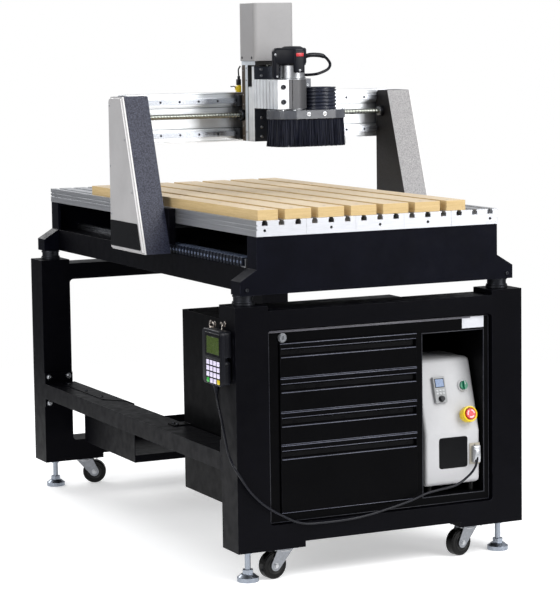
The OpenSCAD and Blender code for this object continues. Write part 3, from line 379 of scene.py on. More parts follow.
ROUTER = painted("router_plastic", (0.0055, 0.0062, 0.0105), 0.32, 0.2, 1100.0, 0.00004, 0.4,
                 (0.06, 0.065, 0.085), 0.20)
PENDANT = painted("pendant_plastic", (0.0052, 0.0056, 0.0085), 0.38, 0.15, 900.0, 0.00006, 0.6,
                  (0.07, 0.075, 0.095), 0.16)
RUBBER = painted("rubber", (0.0018, 0.0017, 0.0017), 0.24, 0.2, 700.0, 0.00004, 0.2, (0.02, 0.02, 0.02), 0.16)
HOSE = painted("hose_rubber", (0.012, 0.015, 0.028), 0.28, 0.25, 900.0, 0.00005, 0.6, (0.09, 0.105, 0.150),
               0.50)
HUB = painted("wheel_hub", (0.0040, 0.0039, 0.0039), 0.30, 0.2, 700.0, 0.00004, 0.3, (0.05, 0.05, 0.05), 0.25)
CHAIN = painted("chain_nylon", (0.006, 0.008, 0.015), 0.32, 0.3, 600.0, 0.00008, 0.5, (0.07, 0.09, 0.15),
                0.30)
# Lighter colour for the chain's pins and link-top bars: painted highlights.
CHAIN_PIN_HIGHLIGHT = painted("chain_pins_and_highlights", (0.110, 0.135, 0.200), 0.26, 0.3, 600.0, 0.00005, 0.3, (0.30, 0.36, 0.50),
                      0.5)
CABLE = painted("cable_sheath", (0.004, 0.0045, 0.008), 0.30, 0.15, 900.0, 0.00003, 0.0, specular=0.22)
BRISTLE = bristle_paint()
SMOKED = smoked()
GLOSS = painted("gloss_black", (0.0028, 0.0029, 0.0036), 0.20, 0.1, 900.0, 0.00001, 0.0, specular=0.12)
# Painted highlights: the light lines along the drawers' edges and pull lips.
DRAWER_HIGHLIGHT = painted("drawer_edge_highlight", (0.075, 0.080, 0.110), 0.28, 0.25, 900.0, 0.00003, 0.5, (0.20, 0.21, 0.26), 0.5)
# A painted highlight band for the top edge of the cabinet front.
CASE_TOP_HIGHLIGHT = painted("case_top_edge_highlight", (0.115, 0.112, 0.130), 0.28, 0.25, 900.0, 0.00003, 0.5,
                   (0.24, 0.24, 0.28), 0.5)
# Faint painted highlights for the case's edges.
CASE_FAINT_HIGHLIGHT = painted("case_edge_highlight", (0.012, 0.0125, 0.018), 0.30, 0.25, 900.0, 0.00003, 0.5, (0.07, 0.075, 0.10),
                   0.35)
STRIP = painted("drawer_strip", (0.0030, 0.0030, 0.0038), 0.30, 0.15, 900.0, 0.00002, 0.0, specular=0.08)
RED = painted("estop_red", (0.58, 0.035, 0.045), 0.28, 0.08, 900.0, 0.00002, 0.1, (0.8, 0.2, 0.2), 0.4, 0.3)
PALE_RED = painted("estop_arc", (0.80, 0.52, 0.55), 0.35, 0.05, 900.0, 0.00001, 0.0)
YELLOW = painted("estop_yellow", (0.72, 0.52, 0.010), 0.32, 0.06, 900.0, 0.00002, 0.1, (0.9, 0.8, 0.3), 0.4,
                 0.2)
GREEN = painted("switch_green", (0.006, 0.17, 0.085), 0.30, 0.10, 900.0, 0.00002, 0.1, (0.1, 0.4, 0.25), 0.4,
                0.2)
GREY = painted("module_grey", (0.30, 0.305, 0.31), 0.42, 0.06, 1200.0, 0.00003, 0.15, (0.6, 0.6, 0.6))
KEYCAP = painted("module_keys", (0.48, 0.49, 0.50), 0.40, 0.06, 900.0, 0.00002, 0.1, (0.7, 0.7, 0.7))
BEIGE = painted("plug_flange", (0.36, 0.33, 0.27), 0.40, 0.10, 900.0, 0.00003, 0.3, (0.6, 0.58, 0.52))
SILVER = metal("plug_silver", (0.50, 0.51, 0.53), 0.26, (1, 1, 0.1), 200.0, 0.2, edge_mix=0.3)
PLATE = painted("blank_plate", (0.62, 0.63, 0.67), 0.25, 0.04, 900.0, 0.00001, 0.0, specular=0.4)
LCD = glow("lcd_green", (0.034, 0.060, 0.0012), 0.2)
DISPLAY = glow("display_blue", (0.14, 0.20, 0.33), 0.2)
# The keys below glow as painted light; only the displays are lit.
KEY = glow("key_white", (0.74, 0.68, 0.88), 0.2)
KEY_GREEN = glow("key_green", (0.015, 0.34, 0.03), 0.12)
KEY_YELLOW = glow("key_yellow", (0.70, 0.54, 0.015), 0.12)


# ---------------------------------------------------------------- shapes


def piece(name, bm, material, body, smooth=35.0, materials=()):
    """Turns a bmesh in millimetres into a piece that rides on a body."""
    bmesh.ops.recalc_face_normals(bm, faces=bm.faces[:])
    bmesh.ops.scale(bm, vec=(MM, MM, MM), verts=bm.verts[:])
    mesh = bpy.data.meshes.new(name)
    bm.to_mesh(mesh)
    bm.free()
    mesh.materials.append(material)
    for extra in materials:
        mesh.materials.append(extra)
    mesh.shade_smooth()
    mesh.set_sharp_from_angle(angle=math.radians(smooth))
    obj = bpy.data.objects.new(name, mesh)
    scene.collection.objects.link(obj)
    if body:
        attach(obj, body)
    return obj


def merge(bm, part, index=0):
    """Adds one bmesh to another and gives its faces a material index."""
    for face in part.faces:
        face.material_index = index
    mesh = bpy.data.meshes.new("part")
    part.to_mesh(mesh)
    part.free()
    bm.from_mesh(mesh)
    bpy.data.meshes.remove(mesh)


def block(lo, hi, edge=0.6, segments=2):
    """A block between two corners, with rounded edges."""
    bm = bmesh.new()
    lo, hi = Vector(lo), Vector(hi)
    bmesh.ops.create_cube(bm, size=1.0)
    bmesh.ops.scale(bm, vec=hi - lo, verts=bm.verts[:])
    bmesh.ops.translate(bm, vec=(lo + hi) / 2, verts=bm.verts[:])
    if edge:
        edge = min(edge, 0.45 * min(hi - lo))
        bmesh.ops.bevel(bm, geom=bm.edges[:], offset=edge, segments=segments, profile=0.5, affect="EDGES")
    return bm


def prism(points, axis, a, b, edge=0.0, segments=2):
    """A polygon, given in the other two axes in order, pulled from a to b along one axis."""
    bm = bmesh.new()
    rows = []
    for level in (a, b):
        row = []
        for p, q in points:
            spot = {"x": (level, p, q), "y": (p, level, q), "z": (p, q, level)}[axis]
            row.append(bm.verts.new(spot))
        rows.append(row)
    bm.faces.new(rows[0])
    bm.faces.new(rows[1])
    count = len(points)
    for i in range(count):
        j = (i + 1) % count
        bm.faces.new((rows[0][i], rows[0][j], rows[1][j], rows[1][i]))
    if edge:
        bmesh.ops.recalc_face_normals(bm, faces=bm.faces[:])
        sharp = [e for e in bm.edges if e.calc_face_angle(0.0) > 0.3]
        bmesh.ops.bevel(bm, geom=sharp, offset=edge, segments=segments, profile=0.5, affect="EDGES")
    return bm


def rounded(x0, y0, x1, y1, r, steps=5):
    """Corner points of a rectangle with round corners."""
    points = []
    for cx, cy, start in ((x1 - r, y0 + r, -90), (x1 - r, y1 - r, 0), (x0 + r, y1 - r, 90),
                          (x0 + r, y0 + r, 180)):
        for i in range(steps + 1):
            turn = math.radians(start + 90 * i / steps)
            points.append((cx + r * math.cos(turn), cy + r * math.sin(turn)))
    return points


def lathe(profile, origin, axis, sides=32, closed=False):
    """Spins a profile of (radius, height) round an axis. closed joins its last point to its first."""
    bm = bmesh.new()
    z = Vector(axis).normalized()
    x = z.orthogonal().normalized()
    y = z.cross(x)
    rings = []
    for r, h in profile:
        centre = Vector(origin) + z * h
        if r < 1e-6:
            rings.append([bm.verts.new(centre)])
            continue
        ring = []
        for i in range(sides):
            a = 2 * math.pi * i / sides
            ring.append(bm.verts.new(centre + (x * math.cos(a) + y * math.sin(a)) * r))
        rings.append(ring)
    pairs = list(zip(rings, rings[1:]))
    if closed:
        pairs.append((rings[-1], rings[0]))
    for a, b in pairs:
        for i in range(sides):
            j = (i + 1) % sides
            if len(a) == 1 and len(b) == 1:
                continue
            if len(a) == 1:
                bm.faces.new((a[0], b[i], b[j]))
            elif len(b) == 1:
                bm.faces.new((a[i], a[j], b[0]))
            else:
                bm.faces.new((a[i], a[j], b[j], b[i]))
    return bm


def socket_screw(origin, axis, r, h):
    """A cap screw's head with a hexagonal socket, standing on origin."""
    bm = lathe([(0, 0), (r, 0), (r, h * 0.8), (r * 0.88, h), (r * 0.55, h), (r * 0.5, h * 0.9),
                (r * 0.5, h * 0.4), (0, h * 0.35)], origin, axis, 24)
    return bm


def dome_bolt(origin, axis, r, h):
    """A button-head bolt with a socket, on a washer."""
    bm = lathe([(0, 0), (r * 1.25, 0), (r * 1.25, h * 0.2), (r, h * 0.2), (r * 0.93, h * 0.55),
                (r * 0.70, h * 0.87), (r * 0.45, h), (r * 0.40, h * 0.96), (r * 0.38, h * 0.5),
                (0, h * 0.45)], origin, axis, 24)
    return bm


def group(name, parts, material, body, smooth=35.0, materials=()):
    """Several bmeshes, or (bmesh, material index) pairs, as one piece."""
    bm = bmesh.new()
    for part in parts:
        if isinstance(part, tuple):
            merge(bm, part[0], part[1])
        else:
            merge(bm, part)
    return piece(name, bm, material, body, smooth, materials)


def curve_points(points, steps=10):
    """A smooth path through the points (Catmull-Rom)."""
    path = [Vector(p) for p in points]
    path = [2 * path[0] - path[1]] + path + [2 * path[-1] - path[-2]]
    out = []
    for i in range(1, len(path) - 2):
        p0, p1, p2, p3 = path[i - 1:i + 3]
        for k in range(steps):
            t = k / steps
            out.append(0.5 * (2 * p1 + (p2 - p0) * t + (2 * p0 - 5 * p1 + 4 * p2 - p3) * t * t
                              + (3 * p1 - p0 - 3 * p2 + p3) * t ** 3))
    out.append(path[-2])
    return out


def skin(bm, rings):
    """Joins rings of the same number of points into a closed tube."""
    for a, b in zip(rings, rings[1:]):
        for k in range(len(a)):
            j = (k + 1) % len(a)
            bm.faces.new((a[k], a[j], b[j], b[k]))
    bm.faces.new(rings[0])
    bm.faces.new(rings[-1])


def sweep(points, radius, sides=12, steps=10):
    """A round tube along a smooth path. radius is a number or a function of the covered share of the path."""
    path = curve_points(points, steps)
    bm = bmesh.new()
    side = None
    rings = []
    for i, p in enumerate(path):
        ahead = (path[min(i + 1, len(path) - 1)] - path[max(i - 1, 0)]).normalized()
        if side is None:
            side = ahead.orthogonal().normalized()
        side = (side - ahead * side.dot(ahead)).normalized()
        up = ahead.cross(side)
        r = radius(i / (len(path) - 1)) if callable(radius) else radius
        ring = []
        for k in range(sides):
            a = 2 * math.pi * k / sides
            ring.append(bm.verts.new(p + (side * math.cos(a) + up * math.sin(a)) * r))
        rings.append(ring)
    skin(bm, rings)
    return bm


def dress(nodes, material, edge=0.8, segments=2):
    """Gives CAD nodes their material and small rounded edges."""
    for name in nodes.split():
        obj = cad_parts[name]
        obj.data.materials.clear()
        obj.data.materials.append(material)
        if not edge:
            continue
        weld = obj.modifiers.new("weld", "WELD")
        weld.merge_threshold = 2e-6
        flat = obj.modifiers.new("flat", "DECIMATE")
        flat.decimate_type = "DISSOLVE"
        flat.angle_limit = math.radians(0.3)
        bevel = obj.modifiers.new("bevel", "BEVEL")
        bevel.width = edge * MM
        bevel.segments = segments
        bevel.limit_method = "ANGLE"
        bevel.angle_limit = math.radians(38.0)
        normals = obj.modifiers.new("normals", "WEIGHTED_NORMAL")
        normals.mode = "FACE_AREA"


# ---------------------------------------------------------------- CAD nodes

dress("base_end_frames", BASE, 1.4)
dress("base_side_beams", BLACK, 1.6)
dress("machine_feet", OXIDE, 0.8)
dress("t_slot_table", TABLE, 0.5)
dress("spoilboard_slats", MDF, 0.7)
dress("y_rails", STEEL_Y, 0.4)
dress("y_motor x_motor z_motor", MOTOR, 1.0)
dress("y_cable_chain", CHAIN, 1.2)
dress("gantry_legs", CAST, 2.0)
dress("gantry_side_covers", COVER, 0.8)
dress("gantry_lower_beam", BLACK, 1.0)
dress("y_bearing_blocks x_bearing_blocks z_bearing_blocks", OXIDE, 0.8)
dress("gantry_beam", BEAM, 0.8)
dress("x_rails", STEEL_X, 0.4)
dress("z_rails", STEEL_Z, 0.4)
dress("x_screw_bearings x_ball_nut", OXIDE, 0.6)
dress("x_carriage_plate", WARM_DARK, 0.6)
dress("z_column", COLUMN, 0.6)
dress("z_slide_plate", MILLED, 0.6)
dress("z_motor_cover", WARM, 1.6)
dress("router_clamp", CLAMP, 0.9)
dress("router_sleeve", SLEEVE, 0.6)
dress("router_speed_dial display_knob", PLASTIC, 0.5)
dress("router_collet", STEEL_Z, 0.5)
dress("dust_shoe", SMOKED, 1.2)
dress("hose_port", HOSE, 1.4)
dress("stand_end_frames", BLACK, 2.2, 3)
dress("stand_side_beams", BLACK, 2.2, 3)
dress("storage_tray", BLACK, 0.5)
dress("levelling_feet", FOOT, 1.4, 3)
dress("caster_plates", FORK, 0.6)
dress("caster_fork_fl caster_fork_fr caster_fork_bl caster_fork_br", FORK, 0.5)
dress("caster_wheel_fl caster_wheel_fr caster_wheel_bl caster_wheel_br", RUBBER, 1.6, 3)
dress("toolbox_case", PANEL, 0.9)
dress("drawer_1 drawer_2 drawer_3 drawer_4", PANEL, 1.2)
dress("toolbox_lock", FORK, 0.5)
dress("rotary_switch", GREEN, 0.8)
dress("estop_button", RED, 1.6, 3)


# ---------------------------------------------------------------- small shared parts


def screws(name, spots, axis, r, h, body, kind=socket_screw, material=None):
    return group(name, [kind(spot, axis, r, h) for spot in spots], material or BOLT, body)


def rod(r, length, origin, axis, sides=20):
    return lathe([(0, 0), (r, 0), (r, length), (0, length)], origin, axis, sides)


def moved(bm, matrix):
    bmesh.ops.transform(bm, matrix=matrix, verts=bm.verts[:])
    return bm


def thread(x0, x1, r, pitch, depth, sides=20, steps=6):
    """A ballscrew's rounded thread along X, centred on the X axis."""
    bm = bmesh.new()
    rings = []
    count = int((x1 - x0) / pitch * steps)
    for i in range(count + 1):
        x = x0 + (x1 - x0) * i / count
        ring = []
        for k in range(sides):
            a = 2 * math.pi * k / sides
            turn = x / pitch - k / sides
            groove = max(0.0, math.cos(2 * math.pi * turn)) ** 1.5
            radius = r - depth * groove
            ring.append(bm.verts.new((x, radius * math.cos(a), radius * math.sin(a))))
        rings.append(ring)
    skin(bm, rings)
    return bm


# ---------------------------------------------------------------- base and table

TABLE_TOP, SIDE_TOP = 984, 852
for side, x in (("left", -300), ("right", 300)):
    screws(f"y_rail_screws_{side}", [(x, y, SIDE_TOP + 17.5) for y in range(-700, 701, 70)], UP, 4,
           0.4, "machine", material=OXIDE)
screws("table_end_screws", [(x, -785, TABLE_TOP - 27) for x in (-350, -150, 0, 150, 350)], FRONT, 3.8, 3,
       "machine", material=OXIDE)
screws("slat_screws",
       [(x, y, TABLE_TOP + 27.2) for x in (-331, -245, -145, -45, 55, 155, 241)
        for y in (-740, -460, -180, 100, 395)], UP, 4.2, 1.0, "machine", material=ZINC)
for x in (-397, 397):
    for y in (-748, 748):
        mark = f"{'l' if x < 0 else 'r'}{'f' if y < 0 else 'b'}"
        group(f"machine_foot_rings_{mark}", [
            lathe([(27.2, 0), (29.6, 0), (30, 1.4), (29.6, 2.8), (27.2, 2.8)], (x, y, 763.2), UP, 40,
                  True),
            lathe([(27.2, 0), (29.2, 0), (29.6, 2), (29.2, 4), (27.2, 4)], (x, y, 779), UP, 40, True),
        ], OXIDE, "machine")
        screws(f"ear_screws_{mark}", [(x * 1.02, y * 1.0565, 800)], (0, math.copysign(1, y), 0), 5, 4,
               "machine", material=OXIDE)

# The pins and the bars along the link tops, in a lighter colour, are painted highlights on the chain.
chain = []
for i in range(30):
    y = -690 + 22 * i
    for x, out in ((-371, -1), (-331, 1)):
        chain.append(lathe([(0, 0), (4.2, 0), (3.8, 1.2), (2.0, 1.5), (1.8, 0.7), (0, 0.6)],
                           (x, y + 8, 864.5), (out, 0, 0), 14))
    chain.append(block((-369, y + 3, 876.8), (-333, y + 13, 878.2), 0.5))
group("chain_pins_and_highlights", chain, CHAIN_PIN_HIGHLIGHT, "machine")
group("chain_bracket",
      [block((-373, -716, 852), (-329, -688, 855), 0.6), block((-373, -716, 855), (-329, -712, 876), 0.6)],
      ZINC, "machine")
chain_cable = sweep([(-351, -712, 872), (-351, -730, 874), (-340, -745, 860), (-330, -752, 836)], 5, 10, 6)
group("chain_cable", [chain_cable], CABLE, "machine")

# The Y screw with its thread.
bm = thread(-728, 672, 12.4, 10, 1.1, 20, 5)
moved(bm, Matrix.Translation((0, 0, 862)) @ Matrix.Rotation(math.radians(90), 4, "Z"))
merge(bm, rod(7.9, 50, (0, -772, 862), BACK, 24))
merge(bm, rod(7.9, 9, (0, 672, 862), BACK, 24))
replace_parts(piece("y_screw_thread", bm, STEEL_Y, "y_screw", 50), "y_ballscrew")

# ---------------------------------------------------------------- gantry

for side, out in (("left", -1), ("right", 1)):
    face = out * 483
    screws(f"cover_screws_{side}",
           [(face, y, z) for y, z in ((-22, 1278), (-22, 1100), (-22, 960), (-134, 1180), (-185, 1030))],
           (out, 0, 0), 3.2, 1.2, "gantry", dome_bolt)
    low, high = -246, -221
    plate = prism([(-18, 866), (low + 6, 866), (low + 2, 871), (high, 939), (high + 5, 942), (-18, 942),
                   (-13, 937), (-13, 871)], "x", *sorted((face, face + out * 0.9)), 0.3, 1)
    group(f"blank_plate_{side}", [plate], GLOSS, "gantry")

X_RAIL_FRONT = -52
X_SCREW_Y, X_SCREW_Z = -74, 1240
for n, z in enumerate((1283, 1184.5)):
    screws(f"x_rail_screws_{n}", [(x, X_RAIL_FRONT, z) for x in range(-395, 390, 62)], FRONT, 3.6, 0.4,
           "gantry", material=OXIDE)
lines = [block((-397.5, -38.5, z), (397.5, -37.6, z + t), 0) for z, t in
         ((1303.2, 1.0), (1263.0, 1.4), (1201.0, 1.4), (1164.0, 1.0))]
group("beam_grooves", lines, OXIDE, "gantry")

bm = thread(-385, 385, 7.9, 10, 0.8, 18, 6)
moved(bm, Matrix.Translation((0, X_SCREW_Y, X_SCREW_Z)))
for x0, length in ((-397, 12), (385, 20)):
    merge(bm, rod(5.9, length, (x0, X_SCREW_Y, X_SCREW_Z), RIGHT))
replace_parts(piece("x_screw_thread", bm, SCREW, "x_screw", 50), "x_ballscrew")
for side, x, out in (("left", -388, 1), ("right", 388, -1)):
    ring = [(7, 0), (13.5, 0), (13.5, 2.4), (11, 3.2), (8, 3.2), (7, 2.6)]
    group(f"x_bearing_ring_{side}", [lathe(ring, (x, X_SCREW_Y, X_SCREW_Z), (out, 0, 0), 32, True)], ZINC,
          "gantry")
    spots = [(x, X_SCREW_Y + 14.8 * math.cos(a), X_SCREW_Z + 14.8 * math.sin(a))
             for a in (0.8, 2.35, 3.95, 5.5)]
    screws(f"x_bearing_screws_{side}", spots, (out, 0, 0), 1.9, 1.6, "gantry")

# ---------------------------------------------------------------- carriage

CAR_X0, CAR_X1 = -75, 47
group("carriage_side_strips", [
    block((CAR_X0 - 0.8, -93.5, 1166), (CAR_X0, -73, 1222), 0.3, 1),
    block((CAR_X0 - 0.8, -93.5, 1258), (CAR_X0, -73, 1386), 0.3, 1),
], WARM_DARK, "carriage")
for side, out, plate_x, cover_x in (("side", -1, CAR_X0 - 0.8, CAR_X0 - 3), ("right", 1, CAR_X1, CAR_X1 + 5)):
    plate_spots = [(plate_x, -83, z) for z in (1178, 1208, 1272, 1300, 1372)]
    cover_spots = [(cover_x, y, 1411) for y in (-148, -81)]
    screws(f"carriage_{side}_screws", plate_spots, (out, 0, 0), 2.6, 1.4, "carriage")
    screws(f"cover_{side}_screws", cover_spots, (out, 0, 0), 3.4, 1.6, "carriage", dome_bolt, OXIDE)
column_spots = [(CAR_X0, -103, z) for z in (1190, 1344, 1380)]
screws("column_side_screws", column_spots, LEFT, 2.6, 1.4, "carriage")
group("limit_switch", [
    (block((-88, -70, 1308), (-75.8, -50, 1329), 2.2, 3), 0),
    (block((-91, -67, 1313), (-87, -53, 1324), 1.5, 2), 0),
    (block((-86, -69, 1329.2), (-76, -52, 1347), 1.6, 2), 1),
    (block((-84, -66, 1346), (-77, -56, 1357), 2.4, 2), 1),
    (sweep([(-90, -60, 1322), (-97, -60, 1326), (-103, -61, 1325), (-108, -61, 1326)], 1.5, 8, 5), 1),
    (sweep([(-80, -60, 1355), (-79, -56, 1366), (-76, -50, 1376), (-70, -50, 1386)], 2.2, 8, 6), 1),
], YELLOW, "carriage", materials=(PLASTIC,))
group("nut_collar", [
    lathe([(8.8, 0), (15.5, 0), (16.5, 1), (16.5, 4), (15.5, 5), (8.8, 5)],
          (CAR_X0 - 9, X_SCREW_Y, X_SCREW_Z), RIGHT, 32, True)], OXIDE, "carriage")
bm = thread(-133, 91, 7.9, 10, 0.8, 18, 6)
moved(bm, Matrix.Translation((-14, -126, 1309)) @ Matrix.Rotation(math.radians(-90), 4, "Y"))
merge(bm, rod(5.9, 12, (-14, -126, 1165), UP))
merge(bm, rod(5.9, 2, (-14, -126, 1398), UP))
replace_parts(piece("z_screw_thread", bm, SCREW, "z_screw", 50), "z_ballscrew")

# ---------------------------------------------------------------- head

screws("slide_front_screws", [(x, -157, z) for x in (-52, 24) for z in (1178, 1206, 1234, 1358, 1376)],
       FRONT, 4.4, 3.2, "head")
# Thin lighter strips on the slide's left side: painted light.
group("slide_side_painted_light", [
    block((CAR_X0 - 0.7, -140, 1166), (CAR_X0, -118, 1322), 0.3, 1),
    block((CAR_X0 - 0.7, -155.5, 1166), (CAR_X0, -142.5, 1383), 0.3,
          1)], MILLED_PAINTED_LIGHT, "head")
screws("clamp_bolts", [(-56, -314, z) for z in (1283, 1326)], FRONT, 7, 5.5, "head", material=OXIDE)
screws("web_screws", [(x, -194, z) for x in (62, 82) for z in (1284, 1328)], FRONT, 4.6, 4, "head")
group("web_face", [block((40.2, -194.8, 1263), (93.5, -194, 1346), 0.3, 1)], DARK_METAL, "head")

body = [
    lathe([(0, 0), (37.5, 0), (38.8, 1.2), (39.0, 3), (39.0, 26), (38.2, 36), (35.5, 45), (30.5, 52),
           (24, 55.4), (0, 56)], (0, -262, 1388), UP, 56),
    lathe([(0, 0), (22, 0), (21, 1.6), (12, 2.2), (0, 2.2)], (0, -262, 1441.5), UP, 40),
    prism([(-61, -270), (-40, -290), (-15, -310), (15, -310), (30, -296), (38, -270), (36, -244), (20, -228),
           (-20, -228), (-46, -243), (-61, -254)], "z", 1391, 1439, 7, 4),
    prism([(-64, -272), (-44, -272), (-44, -252), (-64, -252)], "z", 1348.5, 1434, 5.5, 4),
    prism([(-62, 1388.5), (-20, 1388.5), (-20, 1438), (-50, 1440), (-60, 1434), (-63, 1422)], "y", -271.5,
          -252.5, 5, 4),
    prism([(-16, -311.5), (16, -311.5), (17, -299.5), (-17, -299.5)], "z", 1367, 1432, 4, 4),
    prism([(-311, 1389), (-262, 1389), (-262, 1436), (-300, 1437), (-309, 1431)], "x", -15.5, 15.5, 5, 4),
    lathe([(2.4, 0), (9.4, 0), (9.4, 3.6), (8.6, 4.4), (2.4, 4.4)], (35.6, -250, 1396), RIGHT, 28, True),
]
for k in range(7):
    a = math.radians(-62 + 20 * k)
    x, y = 38.4 * math.cos(a), -262 + 38.4 * math.sin(a)
    if k in (0, 3, 4):
        continue
    fin = block((-0.8, -1.6, 1402), (0.9, 1.6, 1424), 0.5)
    moved(fin, Matrix.Translation((x, y, 0)) @ Matrix.Rotation(a, 4, "Z"))
    body.append(fin)
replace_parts(group("router_head", body, ROUTER, "head", 50), "router_body")
group("router_trim", [
    (lathe([(36.2, 0), (38.4, 0), (38.8, 1.6), (38.4, 3.2), (36.2, 3.2)], (0, -262, 1350), UP, 48,
           True), 0),
    (block((-12, -313.2, 1414), (12, -311.2, 1424), 0.8, 2), 1),
    (dome_bolt((-59, -272, 1420), FRONT, 3.0, 2.0), 0),
    (dome_bolt((-54, -272, 1356), FRONT, 2.4, 1.4), 0),
    (dome_bolt((0, -311.5, 1374), FRONT, 2.6, 1.2), 0),
], ZINC, "head", materials=(RED,))
grips = []
for k in range(12):
    a = 2 * math.pi * k / 12
    rib = block((40.9, 7.4, -0.8), (45.6, 8.7, 0.8), 0.3, 1)
    moved(rib, Matrix.Translation((0, -250, 1396)) @ Matrix.Rotation(a, 4, "X"))
    grips.append(rib)
group("dial_grips", grips, PLASTIC, "speed_dial")

cord = [(37, -258, 1412), (58, -262, 1417), (80, -262, 1417), (99, -262, 1414), (113, -262, 1406),
        (124, -262, 1390), (118, -262, 1376), (100, -262, 1367), (78, -262, 1361), (56, -252, 1359),
        (44, -236, 1360), (30, -205, 1366), (18, -175, 1376), (12, -163, 1384)]
group("router_cord",
      [sweep(cord, lambda t: 6.6 if t < 0.24 else (6.6 - (t - 0.24) * 55 if t < 0.28 else 4.2), 14, 10)],
      CABLE, "head")
group("cord_clip", [block((2, -163, 1378), (24, -157, 1384), 1.5)], PLASTIC, "head")

SHOE_X, SHOE_Y, SHOE_W, SHOE_D, SHOE_R = 34, -278, 236, 132, 58


def around_shoe(share, inset):
    """A point on the shoe's outline and the direction that points out of it."""
    r = SHOE_R - inset
    flat_x, flat_y = SHOE_W - 2 * SHOE_R, SHOE_D - 2 * SHOE_R
    quarter = math.pi * r / 2
    runs = [("s", flat_x), ("a", quarter), ("s", flat_y), ("a", quarter)] * 2
    total = sum(length for _, length in runs)
    left = (share % 1.0) * total
    heading = -90.0
    corner = [(flat_x / 2, -flat_y / 2), (flat_x / 2, flat_y / 2), (-flat_x / 2, flat_y / 2),
              (-flat_x / 2, -flat_y / 2)]
    for i, (kind, length) in enumerate(runs):
        c = corner[(i // 2) % 4]
        if left <= length:
            if kind == "a":
                a = math.radians(heading + 90 * left / length)
                out = Vector((math.cos(a), math.sin(a), 0))
                return Vector((SHOE_X + c[0], SHOE_Y + c[1], 0)) + out * r, out
            out = Vector((math.cos(math.radians(heading)), math.sin(math.radians(heading)), 0))
            along = Vector((-out.y, out.x, 0))
            return Vector((SHOE_X + c[0], SHOE_Y + c[1], 0)) + out * r - along * (length - left), out
        left -= length
        if kind == "a":
            heading += 90
    return around_shoe(0.0, inset)


rng = random.Random(7)
bm = bmesh.new()
for i in range(4200):
    inset = 4.6 + rng.random() ** 0.8 * 11.5
    root, out = around_shoe(rng.random(), inset)
    along = Vector((-out.y, out.x, 0))
    flare = (1 - (inset - 4) / 13) * rng.uniform(3.0, 7.5)
    sway = rng.uniform(-2.6, 2.6)
    z0, z1 = 1238.0, 1152.0 + rng.random() ** 2 * 5.0
    rings = []
    spin = rng.uniform(0, 2.0)
    for k, (t, r) in enumerate(((0, 0.95), (0.5, 0.9), (1.0, 0.5))):
        centre = root + out * (flare * t ** 1.6) + along * (sway * t ** 1.5)
        centre.z = z0 + (z1 - z0) * t
        rings.append([bm.verts.new(centre + Vector((r * math.cos(spin + 2.094 * j),
                                                    r * math.sin(spin + 2.094 * j), 0))) for j in range(3)])
    for a, b in zip(rings, rings[1:]):
        for j in range(3):
            bm.faces.new((a[j], b[j], b[(j + 1) % 3], a[(j + 1) % 3]))
    bm.faces.new(rings[0])
    bm.faces.new(rings[-1])
core = bmesh.new()
loops = []
count = 96  # points round each loop of the core
for z, inset in ((1239.5, 6.5), (1162, 6.0), (1162, 13.5), (1239.5, 13.5)):
    ring = []
    for i in range(count):
        p, _ = around_shoe(i / count, inset)
        ring.append(core.verts.new((p.x, p.y, z)))
    loops.append(ring)
for a, b in zip(loops, loops[1:] + loops[:1]):
    for i in range(count):
        j = (i + 1) % count
        core.faces.new((a[i], b[i], b[j], a[j]))
merge(bm, core)
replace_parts(piece("brush_bristles", bm, BRISTLE, "head", 60), "dust_brush")
screws("shoe_bolts", [(x, -344, 1247) for x in (11, 63)], FRONT, 4.6, 4.5, "head", dome_bolt, CHROME)
screws("shoe_top_screws",
       [(x, y, 1258) for x, y in ((-62, -322), (-30, -334), (140, -312), (-66, -236), (20, -228))], UP,
       4.2, 3, "head", dome_bolt, CHROME)
group("port_lip",
      [lathe([(44.6, 0), (50.4, 0), (51.2, 0.8), (51.2, 2.4), (50.2, 3.2), (45.4, 3.2), (44.6, 2.4)],
             (91, -250, 1319.5), UP, 64, True)], HOSE, "head")

# ---------------------------------------------------------------- stand

for end in (-1, 1):
    mark = "front" if end < 0 else "back"
    spots = [(x, end * 691.7, z) for x in (-432.4, -364.4, 364.4, 432.4) for z in (287, 373)]
    screws(f"stand_bolts_{mark}", spots, (0, -end, 0), 7.5, 6, "machine", dome_bolt)
    spots = [(sx * (292 + dx), end * 751 + dy, 84) for sx in (-1, 1) for dx in (-33, 33) for dy in (-27, 27)]
    screws(f"caster_bolts_{mark}", spots, DOWN, 3.8, 3.5, "machine", dome_bolt)
screws("tray_bolts", [(sx * 384, y, 353) for sx in (-1, 1) for y in (345, 480, 640)], UP, 5, 4,
       "machine", dome_bolt, OXIDE)
screws("tab_bolts", [(sx * 382, y, 354) for sx in (-1, 1) for y in (-250, -224)], UP, 4.5, 3.5,
       "machine", dome_bolt, OXIDE)
screws("hanging_studs", [(-446.4, -671, 700), (-446.4, -736, 706)], LEFT, 6.5, 1.2, "machine",
       dome_bolt, BRASS)
turns = [2 * math.pi * i / 10 for i in range(10)]
group("hanging_rings", [
    lathe([(2.4 * math.cos(a) + 9, 2.4 * math.sin(a)) for a in turns], (-455, -671, 697), (1, 0.35, 0.1), 28,
          True),
    lathe([(2.0 * math.cos(a) + 7, 2.0 * math.sin(a)) for a in turns], (-454, -736, 701), (1, -0.3, 0.1), 28,
          True),
    block((-458, -676, 690), (-451, -666, 694.5), 1.2, 2),
    block((-457, -740, 690), (-451, -732, 694.5), 1.2, 2),
    lathe([(0, 0), (3.6, 0), (4.6, 1.4), (4.6, 5), (3.4, 6.6), (0, 6.6)], (-455, -671, 706), (-1, 0, 0.2),
          20),
    lathe([(0, 0), (3.0, 0), (3.8, 1.2), (3.8, 4), (2.8, 5.4), (0, 5.4)], (-454, -736, 708.5), (-1, 0, 0.2),
          20),
], BRASS, "hand_pendant", 50)

